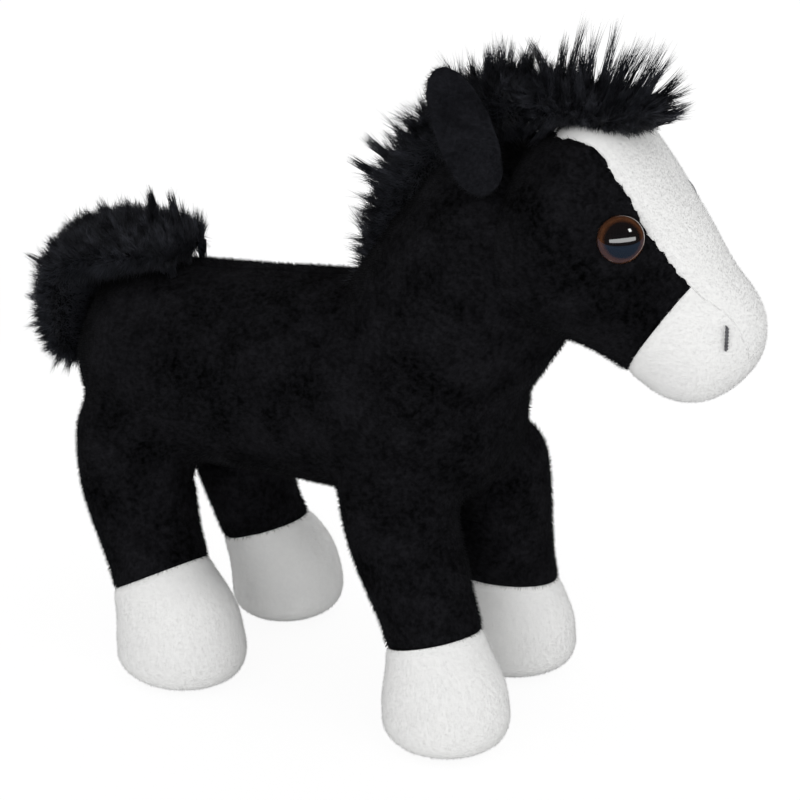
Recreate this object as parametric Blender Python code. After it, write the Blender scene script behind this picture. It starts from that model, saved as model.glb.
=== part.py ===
"""A stuffed toy horse, standing, with its nose towards +X and its right side towards -Y.

Short-pile fabric is sewn over a polyester filling: a torso, a neck, a head and four legs
with white feet. Long-pile fabric makes the mane, the forelock and the tail. The eyes are
plastic safety eyes, held by washers inside the head. Lengths are in metres, +Z is up, and
the origin is at the middle of the part's footprint, on the floor.
"""
import math

import bmesh
import bpy
import numpy as np
from mathutils import Matrix, Vector

# Fabric and clearances
FABRIC = 0.0020              # short-pile fabric, backing and pile together
FIT = 0.0003                 # clearance between pieces that touch
OVERRUN = 0.4                # how far a cutting block runs past what it cuts
RIGHT = -1                   # the side towards -Y
LEFT = 1                     # the side towards +Y

# Torso: an egg along X, its back a little higher at the withers
TORSO_LENGTH = 0.131
TORSO_REAR = -0.0820         # X of the rump's end
TORSO_HEIGHT = 0.0815        # height of the torso's middle line at the rump
TORSO_LIFT = 0.0045          # how much the middle line rises to the chest
TORSO_HALF_WIDTH = 0.0270
TORSO_RISE = 0.0275
TORSO_DROP = 0.0270
RUMP_CAP_SHARE = 0.21
CHEST_CAP_SHARE = 0.19
# share of the length, of the lift, of the half-width, of the rise and of the drop
TORSO_SHARES = (
    (0.00, 0.00, 0.96, 0.96, 0.97),
    (0.22, 0.00, 1.00, 1.01, 1.02),
    (0.45, 0.25, 0.97, 1.11, 1.03),
    (0.70, 0.80, 0.98, 1.17, 1.10),
    (1.00, 1.00, 0.95, 1.00, 1.08),
)

# Belly gusset: the long leaf of fabric under the torso, between the legs
GUSSET_HALF_WIDTH = 0.0130
# share of the torso's length and of the gusset's half-width
GUSSET_SHARES = ((0.06, 0.05), (0.20, 0.70), (0.40, 1.0), (0.60, 1.0), (0.80, 0.70), (0.95, 0.05))

# Neck: a thick oval tube from the withers and chest up to the back of the head
NECK_BASE_AHEAD = 0.0960     # how far the neck's base lies ahead of the rump's end
NECK_BASE_LIFT = 0.0065      # and above the torso's middle line there
NECK_REACH = 0.0440          # how far forward the neck's top lies from its base
NECK_CLIMB = 0.0660          # how far up
NECK_CAP_SHARE = 0.27        # the round end of the neck, inside the head
NECK_HALF_WIDTH = 0.0250
NECK_FRONT = 0.0265
# share of the reach, of the climb, of the half-width, of the back side and of the front side
NECK_SHARES = (
    (0.00, 0.00, 0.94, 1.00, 1.10),
    (0.36, 0.40, 0.98, 1.00, 1.15),
    (0.74, 0.76, 1.00, 0.96, 1.04),
    (1.00, 1.00, 1.00, 0.94, 0.96),
)

# Head: a ball with a smaller ball for the muzzle, joined by straight sides
SKULL_AHEAD = 0.0100         # the skull's centre lies this far ahead of the neck's top
SKULL_DROP = 0.0170          # and this far below it
SKULL_RADIUS = 0.0278
MUZZLE_REACH = 0.0284        # the muzzle's ball lies this far forward of the skull's
MUZZLE_DROP = 0.0184         # and this far below it
MUZZLE_RADIUS = 0.0172
POLL_SHARE = 1.35            # how far the poll, behind the brow, swells past the skull's ball
POLL_CAP_SHARE = 0.27        # how much of the head's length rounds off towards the neck
BROW_SHARE = 1.09            # how far the brow swells past the ball
FACE_SHARE = 1.10            # how full the face is, against a straight line between the balls
JAW_SHARE = 0.95             # and how full the jaw is
NOSE_SHARE = 1.10            # how far the nose swells past the muzzle's ball, and the chin
CHIN_SHARE = 1.20
HEAD_WIDTH_SHARE = 0.98      # the head is a little narrower than it is deep
HEAD_ROLL = 5.0              # degrees that the face leans to the left, round the head's own line
MUZZLE_SEAM = 0.0273         # from the skull's centre to the edge of the muzzle, along the head
BLAZE_HALF_WIDTH = 0.0160
# share of the head's length and of the blaze's half-width
BLAZE_SHARES = (
    (0.055, 0.45),
    (0.09, 0.72),
    (0.15, 0.90),
    (0.20, 0.95),
    (0.30, 1.03),
    (0.38, 1.00),
    (0.48, 1.02),
    (0.55, 0.96),
    (0.64, 0.88),
    (0.71, 0.78),
    (0.82, 0.64),
    (0.92, 0.50),
    (0.97, 0.30),
)

# Legs: from a hip inside the torso down to a flat sole
FRONT_HIP_X = 0.0178
CHEST_STEP = 0.0144           # how far the left front hip lies forward of the right one
FRONT_FOOT_X = 0.0395
FRONT_STEP = -0.0050         # how far the left front foot stands forward of the right one
HIND_HIP_X = -0.0598
RUMP_STEP = 0.0155            # how far the left hind hip lies forward of the right one
HIND_FOOT_X = -0.0402
HIND_STEP = 0.0062           # how far the left hind foot stands forward of the right one
HIP_DROP = 0.0035            # the hips lie this far below the torso's middle line
HIP_HALF_TRACK = 0.0140
FOOT_HALF_TRACK = 0.0240
LEG_HALF_WIDTH = 0.0145
LEG_HALF_LENGTH = 0.0150
HIP_CAP_SHARE = 0.17
# share of the way down, of the half-width, of the front and back reach
LEG_SHARES = (
    (0.00, 1.00, 1.04, 1.14),
    (0.33, 1.02, 1.02, 1.10),
    (0.66, 0.94, 0.94, 0.92),
    (0.85, 1.12, 1.20, 1.14),
    (0.96, 1.11, 1.11, 1.07),
    (1.00, 0.98, 0.92, 0.90),
)
FRONT_OUT_SHARES = (0.0, 0.28, 0.80, 0.96, 1.0, 1.0)    # of the way from the hip out to the foot
HIND_OUT_SHARES = (0.0, 0.08, 0.55, 0.93, 1.0, 1.0)
# how full each leg is along the body, against the leg's own sizes
LEG_FULLNESS = {"front_right": 1.0, "front_left": 1.07, "hind_right": 1.06, "hind_left": 0.90}
SOCK_SEAM_SHARE = 0.655      # how far down the leg the black fabric meets the white foot
SOLE = 0.0022                # thickness of the sole

# Ears: leaves of two layers, each hinged on a short seam at the back of the head
EAR_SHARE = 0.885            # how far up the neck the ear's seam lies
EAR_ANGLE = 68.0             # degrees round the neck from its back line
EAR_LENGTH = 0.0330
EAR_HALF_WIDTH = 0.0072
EAR_SWEEP = 0.0045           # how far the tip curves back along the seam
EAR_SWEEP_POWER = 1.4        # above 1 the root stays straight
EAR_LAYER = 0.0014           # thickness of one layer at its middle
EAR_EDGE = 0.0005            # thickness of one layer at its edges
EAR_CUP = 0.0022             # how deep the leaf is cupped
EAR_LEAN_RIGHT = 31.0        # degrees that the ear leans back from upright
EAR_LEAN_LEFT = 80.0
EAR_ROOT_SHARE = 0.03        # how thick the ear already is at its seam
EAR_BLUNT_SHARE = 0.80
# share of the ear's length and of its half-width
EAR_SHARES = ((0.0, 0.58), (0.12, 0.80), (0.35, 1.0), (0.60, 1.0), (0.82, 0.82), (0.94, 0.54), (1.0, 0.18))

# Locks of long pile, drawn out of the core of the mane, the forelock and the tail
LOCK_FACING_SHARE = 0.35     # how far round a core the locks reach
LOCK_LEAST_SHARE = 0.70      # the shortest lock
LOCK_SPREAD_SHARE = 0.60     # how much longer the longest lock is
PILE_CAP_SHARE = 0.10        # the round ends of a core

# Mane: long pile along the back of the neck, over the top of the head
MANE_HALF_WIDTH = 0.0070
MANE_DEPTH = 0.0070
MANE_LOCK = 0.0100           # length of a lock of the mane
MANE_FACING_SHARES = (-1.0, 0.0, 1.0)        # the way that the locks face, as X, Y and Z
MANE_LEAN_SHARES = (-0.35, 0.0, 0.25)        # and how far they lean from upright on the core
# share of the neck's reach and of its climb, and share of the mane's half-width and depth
MANE_SHARES = (
    (-0.16, 0.29, 0.60, 0.80),
    (-0.06, 0.65, 0.90, 1.00),
    (0.13, 0.93, 1.10, 1.10),
    (0.50, 1.17, 1.10, 1.30),
    (0.86, 1.31, 1.05, 1.20),
)

# Forelock: a brush of long pile on the top of the head
FORELOCK_LENGTH = 0.0330
FORELOCK_HALF_WIDTH = 0.0105
FORELOCK_DEPTH = 0.0048
FORELOCK_LIFT = 0.0015       # how high the brush lies above the skull's ball
FORELOCK_LOCK = 0.0120       # length of a lock of the forelock
FORELOCK_START_SHARE = 0.60  # how far back from the skull's centre it starts
FORELOCK_FACING_SHARES = (0.3, 0.0, 1.0)
FORELOCK_LEAN_SHARES = (0.15, 0.0, 0.35)
# share of the length, of the depth upwards, of the half-width and of the depth
FORELOCK_SHARES = (
    (0.00, -0.20, 0.80, 1.70),
    (0.30, 0.25, 0.95, 1.10),
    (0.70, 0.10, 0.95, 1.00),
    (1.00, 0.30, 0.60, 0.80),
)

# Tail: long pile on a tab that is sewn to the top of the rump
TAIL_HALF_WIDTH = 0.0180
TAIL_DEPTH = 0.0090
TAIL_LOCK = 0.0080           # length of a lock of the tail
TAIL_ROOT_SHARE = 0.29       # where the tab is sewn, as a share of the torso's length
TAIL_FACING_SHARES = (-0.7, 0.0, 1.0)
TAIL_LEAN_SHARES = (-0.05, 0.0, 0.10)
# share of the torso's rise, back and up from the torso's rear middle, then of half-width and depth
TAIL_SHARES = (
    (-1.34, 1.18, 0.55, 0.40),
    (-0.66, 1.12, 0.95, 0.90),
    (0.00, 0.88, 1.00, 1.00),
    (0.13, 0.26, 0.92, 0.95),
    (0.04, -0.30, 0.60, 0.70),
)

# Eyes: a clear brown dome on a black post that goes through the fabric into a washer
EYE_RADIUS = 0.0060
EYE_DOME = 0.0030            # height of the dome
EYE_SHARE = 0.448            # how far along the head the eye sits
EYE_ANGLE = 57.5             # degrees round the head from its top line
PUPIL_RADIUS = 0.0037
PUPIL_DEPTH = 0.0008
SHANK_RADIUS = 0.0015
SHANK_LENGTH = 0.0090
WASHER_RADIUS = 0.0055
WASHER_DEPTH = 0.0012

# Nostrils: one upright stitch of grey thread on each side of the nose
THREAD_RADIUS = 0.0005
STITCH_CAP_SHARE = 0.06
NOSTRIL_START_SHARE = 0.857  # how far along the head the stitch starts and ends
NOSTRIL_END_SHARE = 0.912
NOSTRIL_START_ANGLE = 48.0   # degrees round the head from its top line
NOSTRIL_END_ANGLE = 66.0

# Counts and steps
NORMAL_STEP_SHARE = 0.002    # step along and round a form from which its normals are taken
BODY_SIDES = 20
LEG_SIDES = 16
CAP_RINGS = 4
SPAN_RINGS = 6
PILE_SIDES = 12
EAR_STEPS = 7
EYE_SIDES = 20
STITCH_STEPS = 3
STITCH_SIDES = 6
SEED = 7

# Colours: linear RGB, roughness
BLACK_PLUSH = ((0.008, 0.008, 0.009), 0.9)
WHITE_PLUSH = ((0.76, 0.76, 0.74), 0.9)
LONG_PILE = ((0.010, 0.010, 0.012), 0.75)
FILLING = ((0.85, 0.85, 0.83), 0.95)
EYE_BROWN = ((0.045, 0.020, 0.010), 0.08)
EYE_BLACK = ((0.004, 0.004, 0.005), 0.12)
WASHER_WHITE = ((0.70, 0.70, 0.68), 0.45)
GREY_THREAD = ((0.16, 0.16, 0.17), 0.7)


class Form:
    """A stuffed segment: oval rings along a smooth line through its stations.

    A station is a point of the line, then the ring's half-width, and its reach towards the
    upper or front side and towards the lower or back side. A cap rounds an end off over a
    share of the line; without a cap the end is flat. Breaks are shares that get a ring of
    their own, where one piece ends and the next begins.
    """

    def __init__(self, stations, start_cap_share=0.0, end_cap_share=0.0, sides=BODY_SIDES):
        self.table = np.array(stations, float)
        self.breaks = []
        steps = np.linalg.norm(np.diff(self.table[:, :3], axis=0), axis=1)
        self.length = steps.sum()
        self.knots = np.concatenate([[0.0], np.cumsum(steps)]) / self.length
        self.slopes = np.gradient(self.table, self.knots, axis=0)
        self.start_cap_share = start_cap_share
        self.end_cap_share = end_cap_share
        self.angles = np.linspace(0.0, 2.0 * math.pi, sides, endpoint=False)

    def station(self, share):
        """The line's point and the ring's sizes at a share: a cubic between two stations."""
        t, ends = self.between(share)
        weights = (1 + 2 * t) * (1 - t) ** 2, t * (1 - t) ** 2, t * t * (3 - 2 * t), t * t * (t - 1)
        return sum(weight * value for weight, value in zip(weights, ends))

    def axis(self, share):
        """Unit direction of the line, from its start to its end: the cubic's slope."""
        t, ends = self.between(share)
        weights = 6 * t * (t - 1), (1 - t) * (1 - 3 * t), 6 * t * (1 - t), t * (3 * t - 2)
        along = sum(weight * value for weight, value in zip(weights, ends))[:3]
        return along / np.linalg.norm(along)

    def between(self, share):
        """How far a share lies between its two stations, and their values and slopes."""
        k = int(np.clip(np.searchsorted(self.knots, share) - 1, 0, len(self.knots) - 2))
        span = self.knots[k + 1] - self.knots[k]
        ends = self.table[k], self.slopes[k] * span, self.table[k + 1], self.slopes[k + 1] * span
        return (share - self.knots[k]) / span, ends

    def swell(self, share):
        """Round cap at an end, 1 between the caps."""
        for gap, cap in ((share, self.start_cap_share), (1.0 - share, self.end_cap_share)):
            if gap < cap:
                return math.sqrt(max(0.0, 1.0 - (1.0 - gap / cap) ** 2))
        return 1.0

    def points(self, share, angles):
        """Points of the ring; angle 0 is the upper or front side, 90 degrees is -Y."""
        values = self.station(share)
        axis = self.axis(share)
        front = np.array([-axis[2], 0.0, axis[0]])
        front -= axis * front.dot(axis)
        front /= np.linalg.norm(front)
        side = np.cross(axis, front)
        cosine, sine = np.cos(angles), np.sin(angles)
        reach = np.where(cosine > 0.0, values[4], values[5]) * self.swell(share)
        width = values[3] * self.swell(share)
        return values[:3] + np.outer(reach * cosine, front) + np.outer(width * sine, side)

    def normals(self, share, angles):
        """Outward unit normals of the ring, from small steps along and round the form."""
        step = NORMAL_STEP_SHARE
        around = self.points(share, angles + step) - self.points(share, angles - step)
        middle = min(max(share, 2 * step), 1.0 - 2 * step)
        along = self.points(middle + step, angles) - self.points(middle - step, angles)
        normal = np.cross(around, along)
        return normal / np.linalg.norm(normal, axis=1, keepdims=True)

    def ring(self, share, depth=0.0):
        """The ring at a share, drawn in by a depth; a single point where a cap closes."""
        if share <= 0.0 and self.start_cap_share:
            return (self.station(0.0)[:3] + self.axis(0.0) * depth).reshape(1, 3)
        if share >= 1.0 and self.end_cap_share:
            return (self.station(1.0)[:3] - self.axis(1.0) * depth).reshape(1, 3)
        return self.points(share, self.angles) - self.normals(share, self.angles) * depth

    def shares(self, start=0.0, end=1.0):
        """Shares of the rings from start to end, closer together in the caps."""
        quarter = np.linspace(0.0, math.pi / 2, CAP_RINGS + 1)
        head = list(self.start_cap_share * (1.0 - np.cos(quarter))) if self.start_cap_share else [0.0]
        foot = list(1.0 - self.end_cap_share * (1.0 - np.cos(quarter))) if self.end_cap_share else [1.0]
        span = list(np.linspace(head[-1], foot[-1], SPAN_RINGS + 1)[1:-1])
        every = sorted(head + span + foot[::-1] + self.breaks)
        return [start] + [share for share in every if start < share < end] + [end]


def ring_surface(rings, outward=True, close_start=True, close_end=True):
    """Vertices and faces of a surface through rings, with its ends closed where asked."""
    points = np.concatenate(rings)
    starts = np.concatenate([[0], np.cumsum([len(ring) for ring in rings])])
    faces = []
    for k in range(len(rings) - 1):
        low = [starts[k] + j for j in range(len(rings[k]))]
        high = [starts[k + 1] + j for j in range(len(rings[k + 1]))]
        for j in range(max(len(low), len(high))):
            corner = [low[j % len(low)], low[(j + 1) % len(low)]]
            corner += [high[(j + 1) % len(high)], high[j % len(high)]]
            faces.append(list(dict.fromkeys(int(c) for c in corner)))
    if close_start and len(rings[0]) > 1:
        faces.append([int(starts[0] + j) for j in reversed(range(len(rings[0])))])
    if close_end and len(rings[-1]) > 1:
        faces.append([int(starts[-2] + j) for j in range(len(rings[-1]))])
    if not outward:
        faces = [face[::-1] for face in faces]
    return points, faces


def closed_form(form, depth=0.0, start=0.0, end=1.0):
    """A solid of the form, drawn in by a depth, from one share to another."""
    return ring_surface([form.ring(share, depth) for share in form.shares(start, end)])


def hollow_form(form, depth):
    """A closed shell of the form: its outside, and its inside a depth further in."""
    outer, outer_faces = closed_form(form)
    inner, inner_faces = closed_form(form, depth)
    inner_faces = [[index + len(outer) for index in face[::-1]] for face in inner_faces]
    return np.concatenate([outer, inner]), outer_faces + inner_faces


def tube_form(form, depth, start, end):
    """A tube of the form's skin between two shares, open at both ends."""
    shares = form.shares(start, end)
    outer = [form.ring(share) for share in shares]
    inner = [form.ring(share, depth) for share in shares]
    rings = outer + inner[::-1] + [outer[0]]
    points, faces = ring_surface(rings, close_start=False, close_end=False)
    last, first = len(points) - len(outer[0]), 0
    faces = [[index - last + first if index >= last else index for index in face] for face in faces]
    return points[:last], faces


def open_skin(form, depth, start, end):
    """The form's skin, round at its capped end and open at the other."""
    shares = form.shares(start, end)
    capped_start = start == 0.0 and form.start_cap_share > 0.0
    if not capped_start:
        shares = shares[::-1]
    outer = [form.ring(share) for share in shares]
    inner = [form.ring(share, depth) for share in shares]
    return ring_surface(outer + inner[::-1], outward=capped_start)


def material(name, finish):
    """A Principled material of one colour and roughness."""
    found = bpy.data.materials.get(name)
    if found:
        return found
    made = bpy.data.materials.new(name)
    made.use_nodes = True
    shader = made.node_tree.nodes["Principled BSDF"]
    shader.inputs["Base Color"].default_value = (*finish[0], 1.0)
    shader.inputs["Roughness"].default_value = finish[1]
    shader.inputs["Metallic"].default_value = 0.0
    return made


def add_object(name, points, faces, finish, origin=(0.0, 0.0, 0.0)):
    """A smooth-shaded object of its own material, with its origin where asked."""
    mesh = bpy.data.meshes.new(name)
    mesh.from_pydata([tuple(point) for point in np.asarray(points) - np.array(origin)], [], faces)
    mesh.shade_smooth()
    mesh.materials.append(material(name, finish))
    made = bpy.data.objects.new(name, mesh)
    made.location = origin
    made.parent = ROOT
    bpy.context.collection.objects.link(made)
    return made


def add_cutter(name, points, faces):
    """A guide solid that cuts others and is not part of the model."""
    made = add_object(name, points, faces, FILLING)
    made.hide_render = True
    made.display_type = "WIRE"
    return made


def boolean(target, cutter, operation="DIFFERENCE"):
    """Cuts the target by the cutter, or keeps only what lies inside it."""
    modifier = target.modifiers.new(operation.title() + "_" + cutter.name, "BOOLEAN")
    modifier.operation = operation
    modifier.solver = "EXACT"
    modifier.object = cutter


def block(low, high):
    """Points and faces of a box between two corners."""
    points = [(x, y, z) for x in (low[0], high[0]) for y in (low[1], high[1]) for z in (low[2], high[2])]
    faces = [[0, 1, 3, 2], [4, 6, 7, 5], [0, 4, 5, 1], [2, 3, 7, 6], [0, 2, 6, 4], [1, 5, 7, 3]]
    return np.array(points), faces


def leaf_prism(lengths, half_widths, low, high, frame):
    """A prism whose outline is a leaf along the frame's X, from low to high along its Z."""
    outline = list(zip(lengths, half_widths))
    outline = [(x, y) for x, y in outline] + [(x, -y) for x, y in reversed(outline)]
    count = len(outline)
    corners = [Vector((x, y, z)) for z in (low, high) for x, y in outline]
    points = np.array([tuple(frame @ corner) for corner in corners])
    faces = [[k, (k + 1) % count, count + (k + 1) % count, count + k] for k in range(count)]
    faces = [face[::-1] for face in faces]
    faces += [list(range(count)), [count + k for k in reversed(range(count))]]
    return points, faces


def cylinder(radius, low, high, frame, sides=EYE_SIDES):
    """A round bar along the frame's Z."""
    rings = []
    for height in (low, high):
        turn = np.linspace(0.0, 2.0 * math.pi, sides, endpoint=False)
        ring = [frame @ Vector((radius * math.cos(a), radius * math.sin(a), height)) for a in turn]
        rings.append(np.array([tuple(point) for point in ring]))
    return ring_surface(rings)


def turned(profile, frame, sides=EYE_SIDES):
    """A body turned about the frame's Z, from (radius, height) pairs that start and end on it."""
    rings = []
    for radius, height in profile:
        if radius == 0.0:
            rings.append(np.array([tuple(frame @ Vector((0.0, 0.0, height)))]))
            continue
        turn = np.linspace(0.0, 2.0 * math.pi, sides, endpoint=False)
        ring = [frame @ Vector((radius * math.cos(a), radius * math.sin(a), height)) for a in turn]
        rings.append(np.array([tuple(point) for point in ring]))
    return ring_surface(rings)


def buried(point, bodies):
    """Whether a point lies inside any of the bodies."""
    for body in bodies:
        _, near, normal, _ = body.closest_point_on_mesh(Vector(point))
        if (Vector(point) - near).dot(normal) < 0.0:
            return True
    return False


def add_locks(core, length, lean, facing, carriers):
    """Draws each outer quad of a core out to a point, which makes one lock of long pile.

    A lock points along its quad's normal plus the lean. Only quads that face the given way
    and lie clear of what carries the core get one. Lengths vary by a fixed seed.
    """
    points, faces = core
    facing = np.array(facing) / np.linalg.norm(facing)
    vary = np.random.default_rng(SEED)
    points = [np.array(point) for point in points]
    drawn = []
    for face in faces:
        corners = np.array([points[index] for index in face])
        middle = corners.mean(axis=0)
        normal = np.cross(corners[1] - corners[0], corners[-1] - corners[0])
        normal /= np.linalg.norm(normal)
        aside = len(face) != 4 or normal.dot(facing) < LOCK_FACING_SHARE
        if aside or any(buried(corner, carriers) for corner in corners):
            drawn.append(face)
            continue
        way = normal + np.array(lean)
        reach = length * (LOCK_LEAST_SHARE + LOCK_SPREAD_SHARE * vary.random())
        points.append(middle + way / np.linalg.norm(way) * reach)
        tip = len(points) - 1
        drawn += [[face[k], face[(k + 1) % 4], tip] for k in range(4)]
    return np.array(points), drawn


def neck_point(reach, climb):
    """A point of the middle plane, by shares of the neck's reach and climb from its base."""
    x = TORSO_REAR + NECK_BASE_AHEAD + NECK_REACH * reach
    return x, 0.0, TORSO_HEIGHT + NECK_BASE_LIFT + NECK_CLIMB * climb


def skull_centre():
    top = neck_point(1.0, 1.0)
    return Vector((top[0] + SKULL_AHEAD, 0.0, top[2] - SKULL_DROP))


def torso_form():
    stations = []
    for along, lift, width, rise, drop in TORSO_SHARES:
        point = TORSO_REAR + TORSO_LENGTH * along, 0.0, TORSO_HEIGHT + TORSO_LIFT * lift
        stations.append((*point, TORSO_HALF_WIDTH * width, TORSO_RISE * rise, TORSO_DROP * drop))
    return Form(stations, RUMP_CAP_SHARE, CHEST_CAP_SHARE)


def neck_form():
    stations = []
    for reach, climb, width, back, front in NECK_SHARES:
        thick = NECK_FRONT * back, NECK_FRONT * front
        stations.append((*neck_point(reach, climb), NECK_HALF_WIDTH * width, *thick))
    return Form(stations, 0.0, NECK_CAP_SHARE)


def head_frame():
    """Places the head: X along it to the nose, Z to its upper side, from the skull's centre."""
    along = Vector((MUZZLE_REACH, 0.0, -MUZZLE_DROP)).normalized()
    up = Vector((-along.z, 0.0, along.x))
    turn = Matrix((along, up.cross(along), up)).transposed().to_4x4()
    return Matrix.Translation(skull_centre()) @ turn


def head_length():
    return SKULL_RADIUS + math.hypot(MUZZLE_REACH, MUZZLE_DROP) + MUZZLE_RADIUS


def head_form():
    frame = head_frame()
    apart = math.hypot(MUZZLE_REACH, MUZZLE_DROP)
    places = (-SKULL_RADIUS, 0.0, apart / 2, apart, apart + MUZZLE_RADIUS)
    middle = (SKULL_RADIUS + MUZZLE_RADIUS) / 2
    radii = (SKULL_RADIUS, SKULL_RADIUS, middle, MUZZLE_RADIUS, MUZZLE_RADIUS)
    nose = NOSE_SHARE, CHIN_SHARE
    fullness = ((POLL_SHARE, 1.0), (BROW_SHARE, 1.0), (FACE_SHARE, JAW_SHARE), nose, nose)
    stations = []
    for place, radius, (face, jaw) in zip(places, radii, fullness):
        point = frame @ Vector((place, 0.0, 0.0))
        stations.append((*point, radius * HEAD_WIDTH_SHARE, radius * face, radius * jaw))
    return Form(stations, POLL_CAP_SHARE, MUZZLE_RADIUS / head_length())


def leg_form(hip_x, foot_x, out_shares, side, fullness):
    stations = []
    for (down, width, front, back), out in zip(LEG_SHARES, out_shares):
        x = hip_x + (foot_x - hip_x) * out
        y = side * (HIP_HALF_TRACK + (FOOT_HALF_TRACK - HIP_HALF_TRACK) * out)
        point = x, y, (TORSO_HEIGHT - HIP_DROP) * (1.0 - down)
        half_length = LEG_HALF_LENGTH * (fullness if down else 1.0)
        stations.append((*point, LEG_HALF_WIDTH * width, half_length * front, half_length * back))
    return Form(stations, HIP_CAP_SHARE, 0.0, LEG_SIDES)


def half_block(name, side):
    """Everything on one side of the middle plane, short of it by half a clearance."""
    near, far = sorted((side * FIT / 2, side * OVERRUN))
    return add_cutter(name, *block((-OVERRUN, near, -OVERRUN), (OVERRUN, far, OVERRUN)))


def make_torso(form, halves):
    """Filling, two side panels that meet along the back, and the belly gusset."""
    add_object("torso_filling", *closed_form(form, FABRIC + FIT), FILLING)
    along = [TORSO_REAR + TORSO_LENGTH * share for share, _ in GUSSET_SHARES]
    half = [GUSSET_HALF_WIDTH * share for _, share in GUSSET_SHARES]
    wide = [width + FIT for width in half]
    long = [along[0] - FIT] + along[1:-1] + [along[-1] + FIT]
    base, top = -OVERRUN, TORSO_HEIGHT
    leaf = add_cutter("gusset_guide", *leaf_prism(along, half, base, top, Matrix()))
    gap = add_cutter("gusset_gap_guide", *leaf_prism(long, wide, base, top, Matrix()))
    gusset = add_object("belly_gusset", *hollow_form(form, FABRIC), BLACK_PLUSH)
    boolean(gusset, leaf, "INTERSECT")
    for side, name in ((RIGHT, "body_panel_right"), (LEFT, "body_panel_left")):
        panel = add_object(name, *hollow_form(form, FABRIC), BLACK_PLUSH)
        boolean(panel, gap)
        boolean(panel, halves[side], "INTERSECT")


def make_neck(form, halves, larger):
    """Filling and two side panels, cut by the torso and the head."""
    filling = add_object("neck_filling", *closed_form(form, FABRIC + FIT), FILLING)
    panels = []
    for side, name in ((RIGHT, "neck_panel_right"), (LEFT, "neck_panel_left")):
        panel = add_object(name, *open_skin(form, FABRIC, 0.0, 1.0), BLACK_PLUSH)
        boolean(panel, halves[side], "INTERSECT")
        panels.append(panel)
    for piece in [filling] + panels:
        for cutter in larger:
            boolean(piece, cutter)


def make_head(form, halves, eye_frames):
    """Filling, black cheeks, white muzzle sides and the white blaze from brow to nose."""
    frame = head_frame() @ Matrix.Rotation(math.radians(-HEAD_ROLL), 4, "X")
    length = head_length()
    along = [length * share - SKULL_RADIUS for share, _ in BLAZE_SHARES]
    half = [BLAZE_HALF_WIDTH * share for _, share in BLAZE_SHARES]
    wide = [width + FIT for width in half]
    long = [along[0] - FIT] + along[1:-1] + [along[-1] + FIT]
    strip = add_cutter("blaze_guide", *leaf_prism(along, half, 0.0, OVERRUN, frame))
    gap = add_cutter("blaze_gap_guide", *leaf_prism(long, wide, -FIT, OVERRUN, frame))
    blaze = add_object("blaze", *hollow_form(form, FABRIC), WHITE_PLUSH)
    boolean(blaze, strip, "INTERSECT")

    rear_low, rear_high = (-OVERRUN, -OVERRUN, -OVERRUN), (MUZZLE_SEAM - FIT / 2, OVERRUN, OVERRUN)
    front_low, front_high = (MUZZLE_SEAM + FIT / 2, -OVERRUN, -OVERRUN), (OVERRUN, OVERRUN, OVERRUN)
    regions = {}
    for name, low, high in (("cheek", rear_low, rear_high), ("muzzle", front_low, front_high)):
        points, faces = block(low, high)
        points = np.array([tuple(frame @ Vector(point)) for point in points])
        regions[name] = add_cutter(name + "_guide", points, faces)
    filling = add_object("head_filling", *closed_form(form, FABRIC + FIT), FILLING)
    for side, word in ((RIGHT, "right"), (LEFT, "left")):
        for part, finish in (("cheek", BLACK_PLUSH), ("muzzle", WHITE_PLUSH)):
            panel = add_object(f"{part}_{word}", *hollow_form(form, FABRIC), finish)
            boolean(panel, halves[side], "INTERSECT")
            boolean(panel, regions[part], "INTERSECT")
            boolean(panel, gap)
            if part == "cheek":
                cut_eye_seat(panel, filling, eye_frames[side], word)


def eye_seat_depth():
    """How deep the washer's outer face lies: under the fabric, where its rim meets the curve."""
    return FABRIC + WASHER_RADIUS ** 2 / (2 * (SKULL_RADIUS - FABRIC)) + 2 * FIT


def cut_eye_seat(panel, filling, frame, word):
    """A hole for the shank in the fabric, and room for shank and washer in the filling."""
    bore = SHANK_RADIUS + FIT
    hole = add_cutter(f"shank_guide_{word}", *cylinder(bore, -SHANK_LENGTH - FIT, SHANK_LENGTH, frame))
    boolean(panel, hole)
    boolean(filling, hole)
    floor = -eye_seat_depth() - WASHER_DEPTH - FIT
    room = cylinder(WASHER_RADIUS + FIT, floor, SHANK_LENGTH, frame)
    boolean(filling, add_cutter(f"washer_guide_{word}", *room))


def eye_frame(form, side):
    """Places an eye on the head's surface, with Z pointing out of it."""
    angle = np.array([math.radians(EYE_ANGLE * -side - HEAD_ROLL)])
    place = Vector(form.points(EYE_SHARE, angle)[0])
    out = Vector(form.normals(EYE_SHARE, angle)[0])
    turn = out.to_track_quat("Z", "Y").to_matrix().to_4x4()
    return Matrix.Translation(place) @ turn


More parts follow.
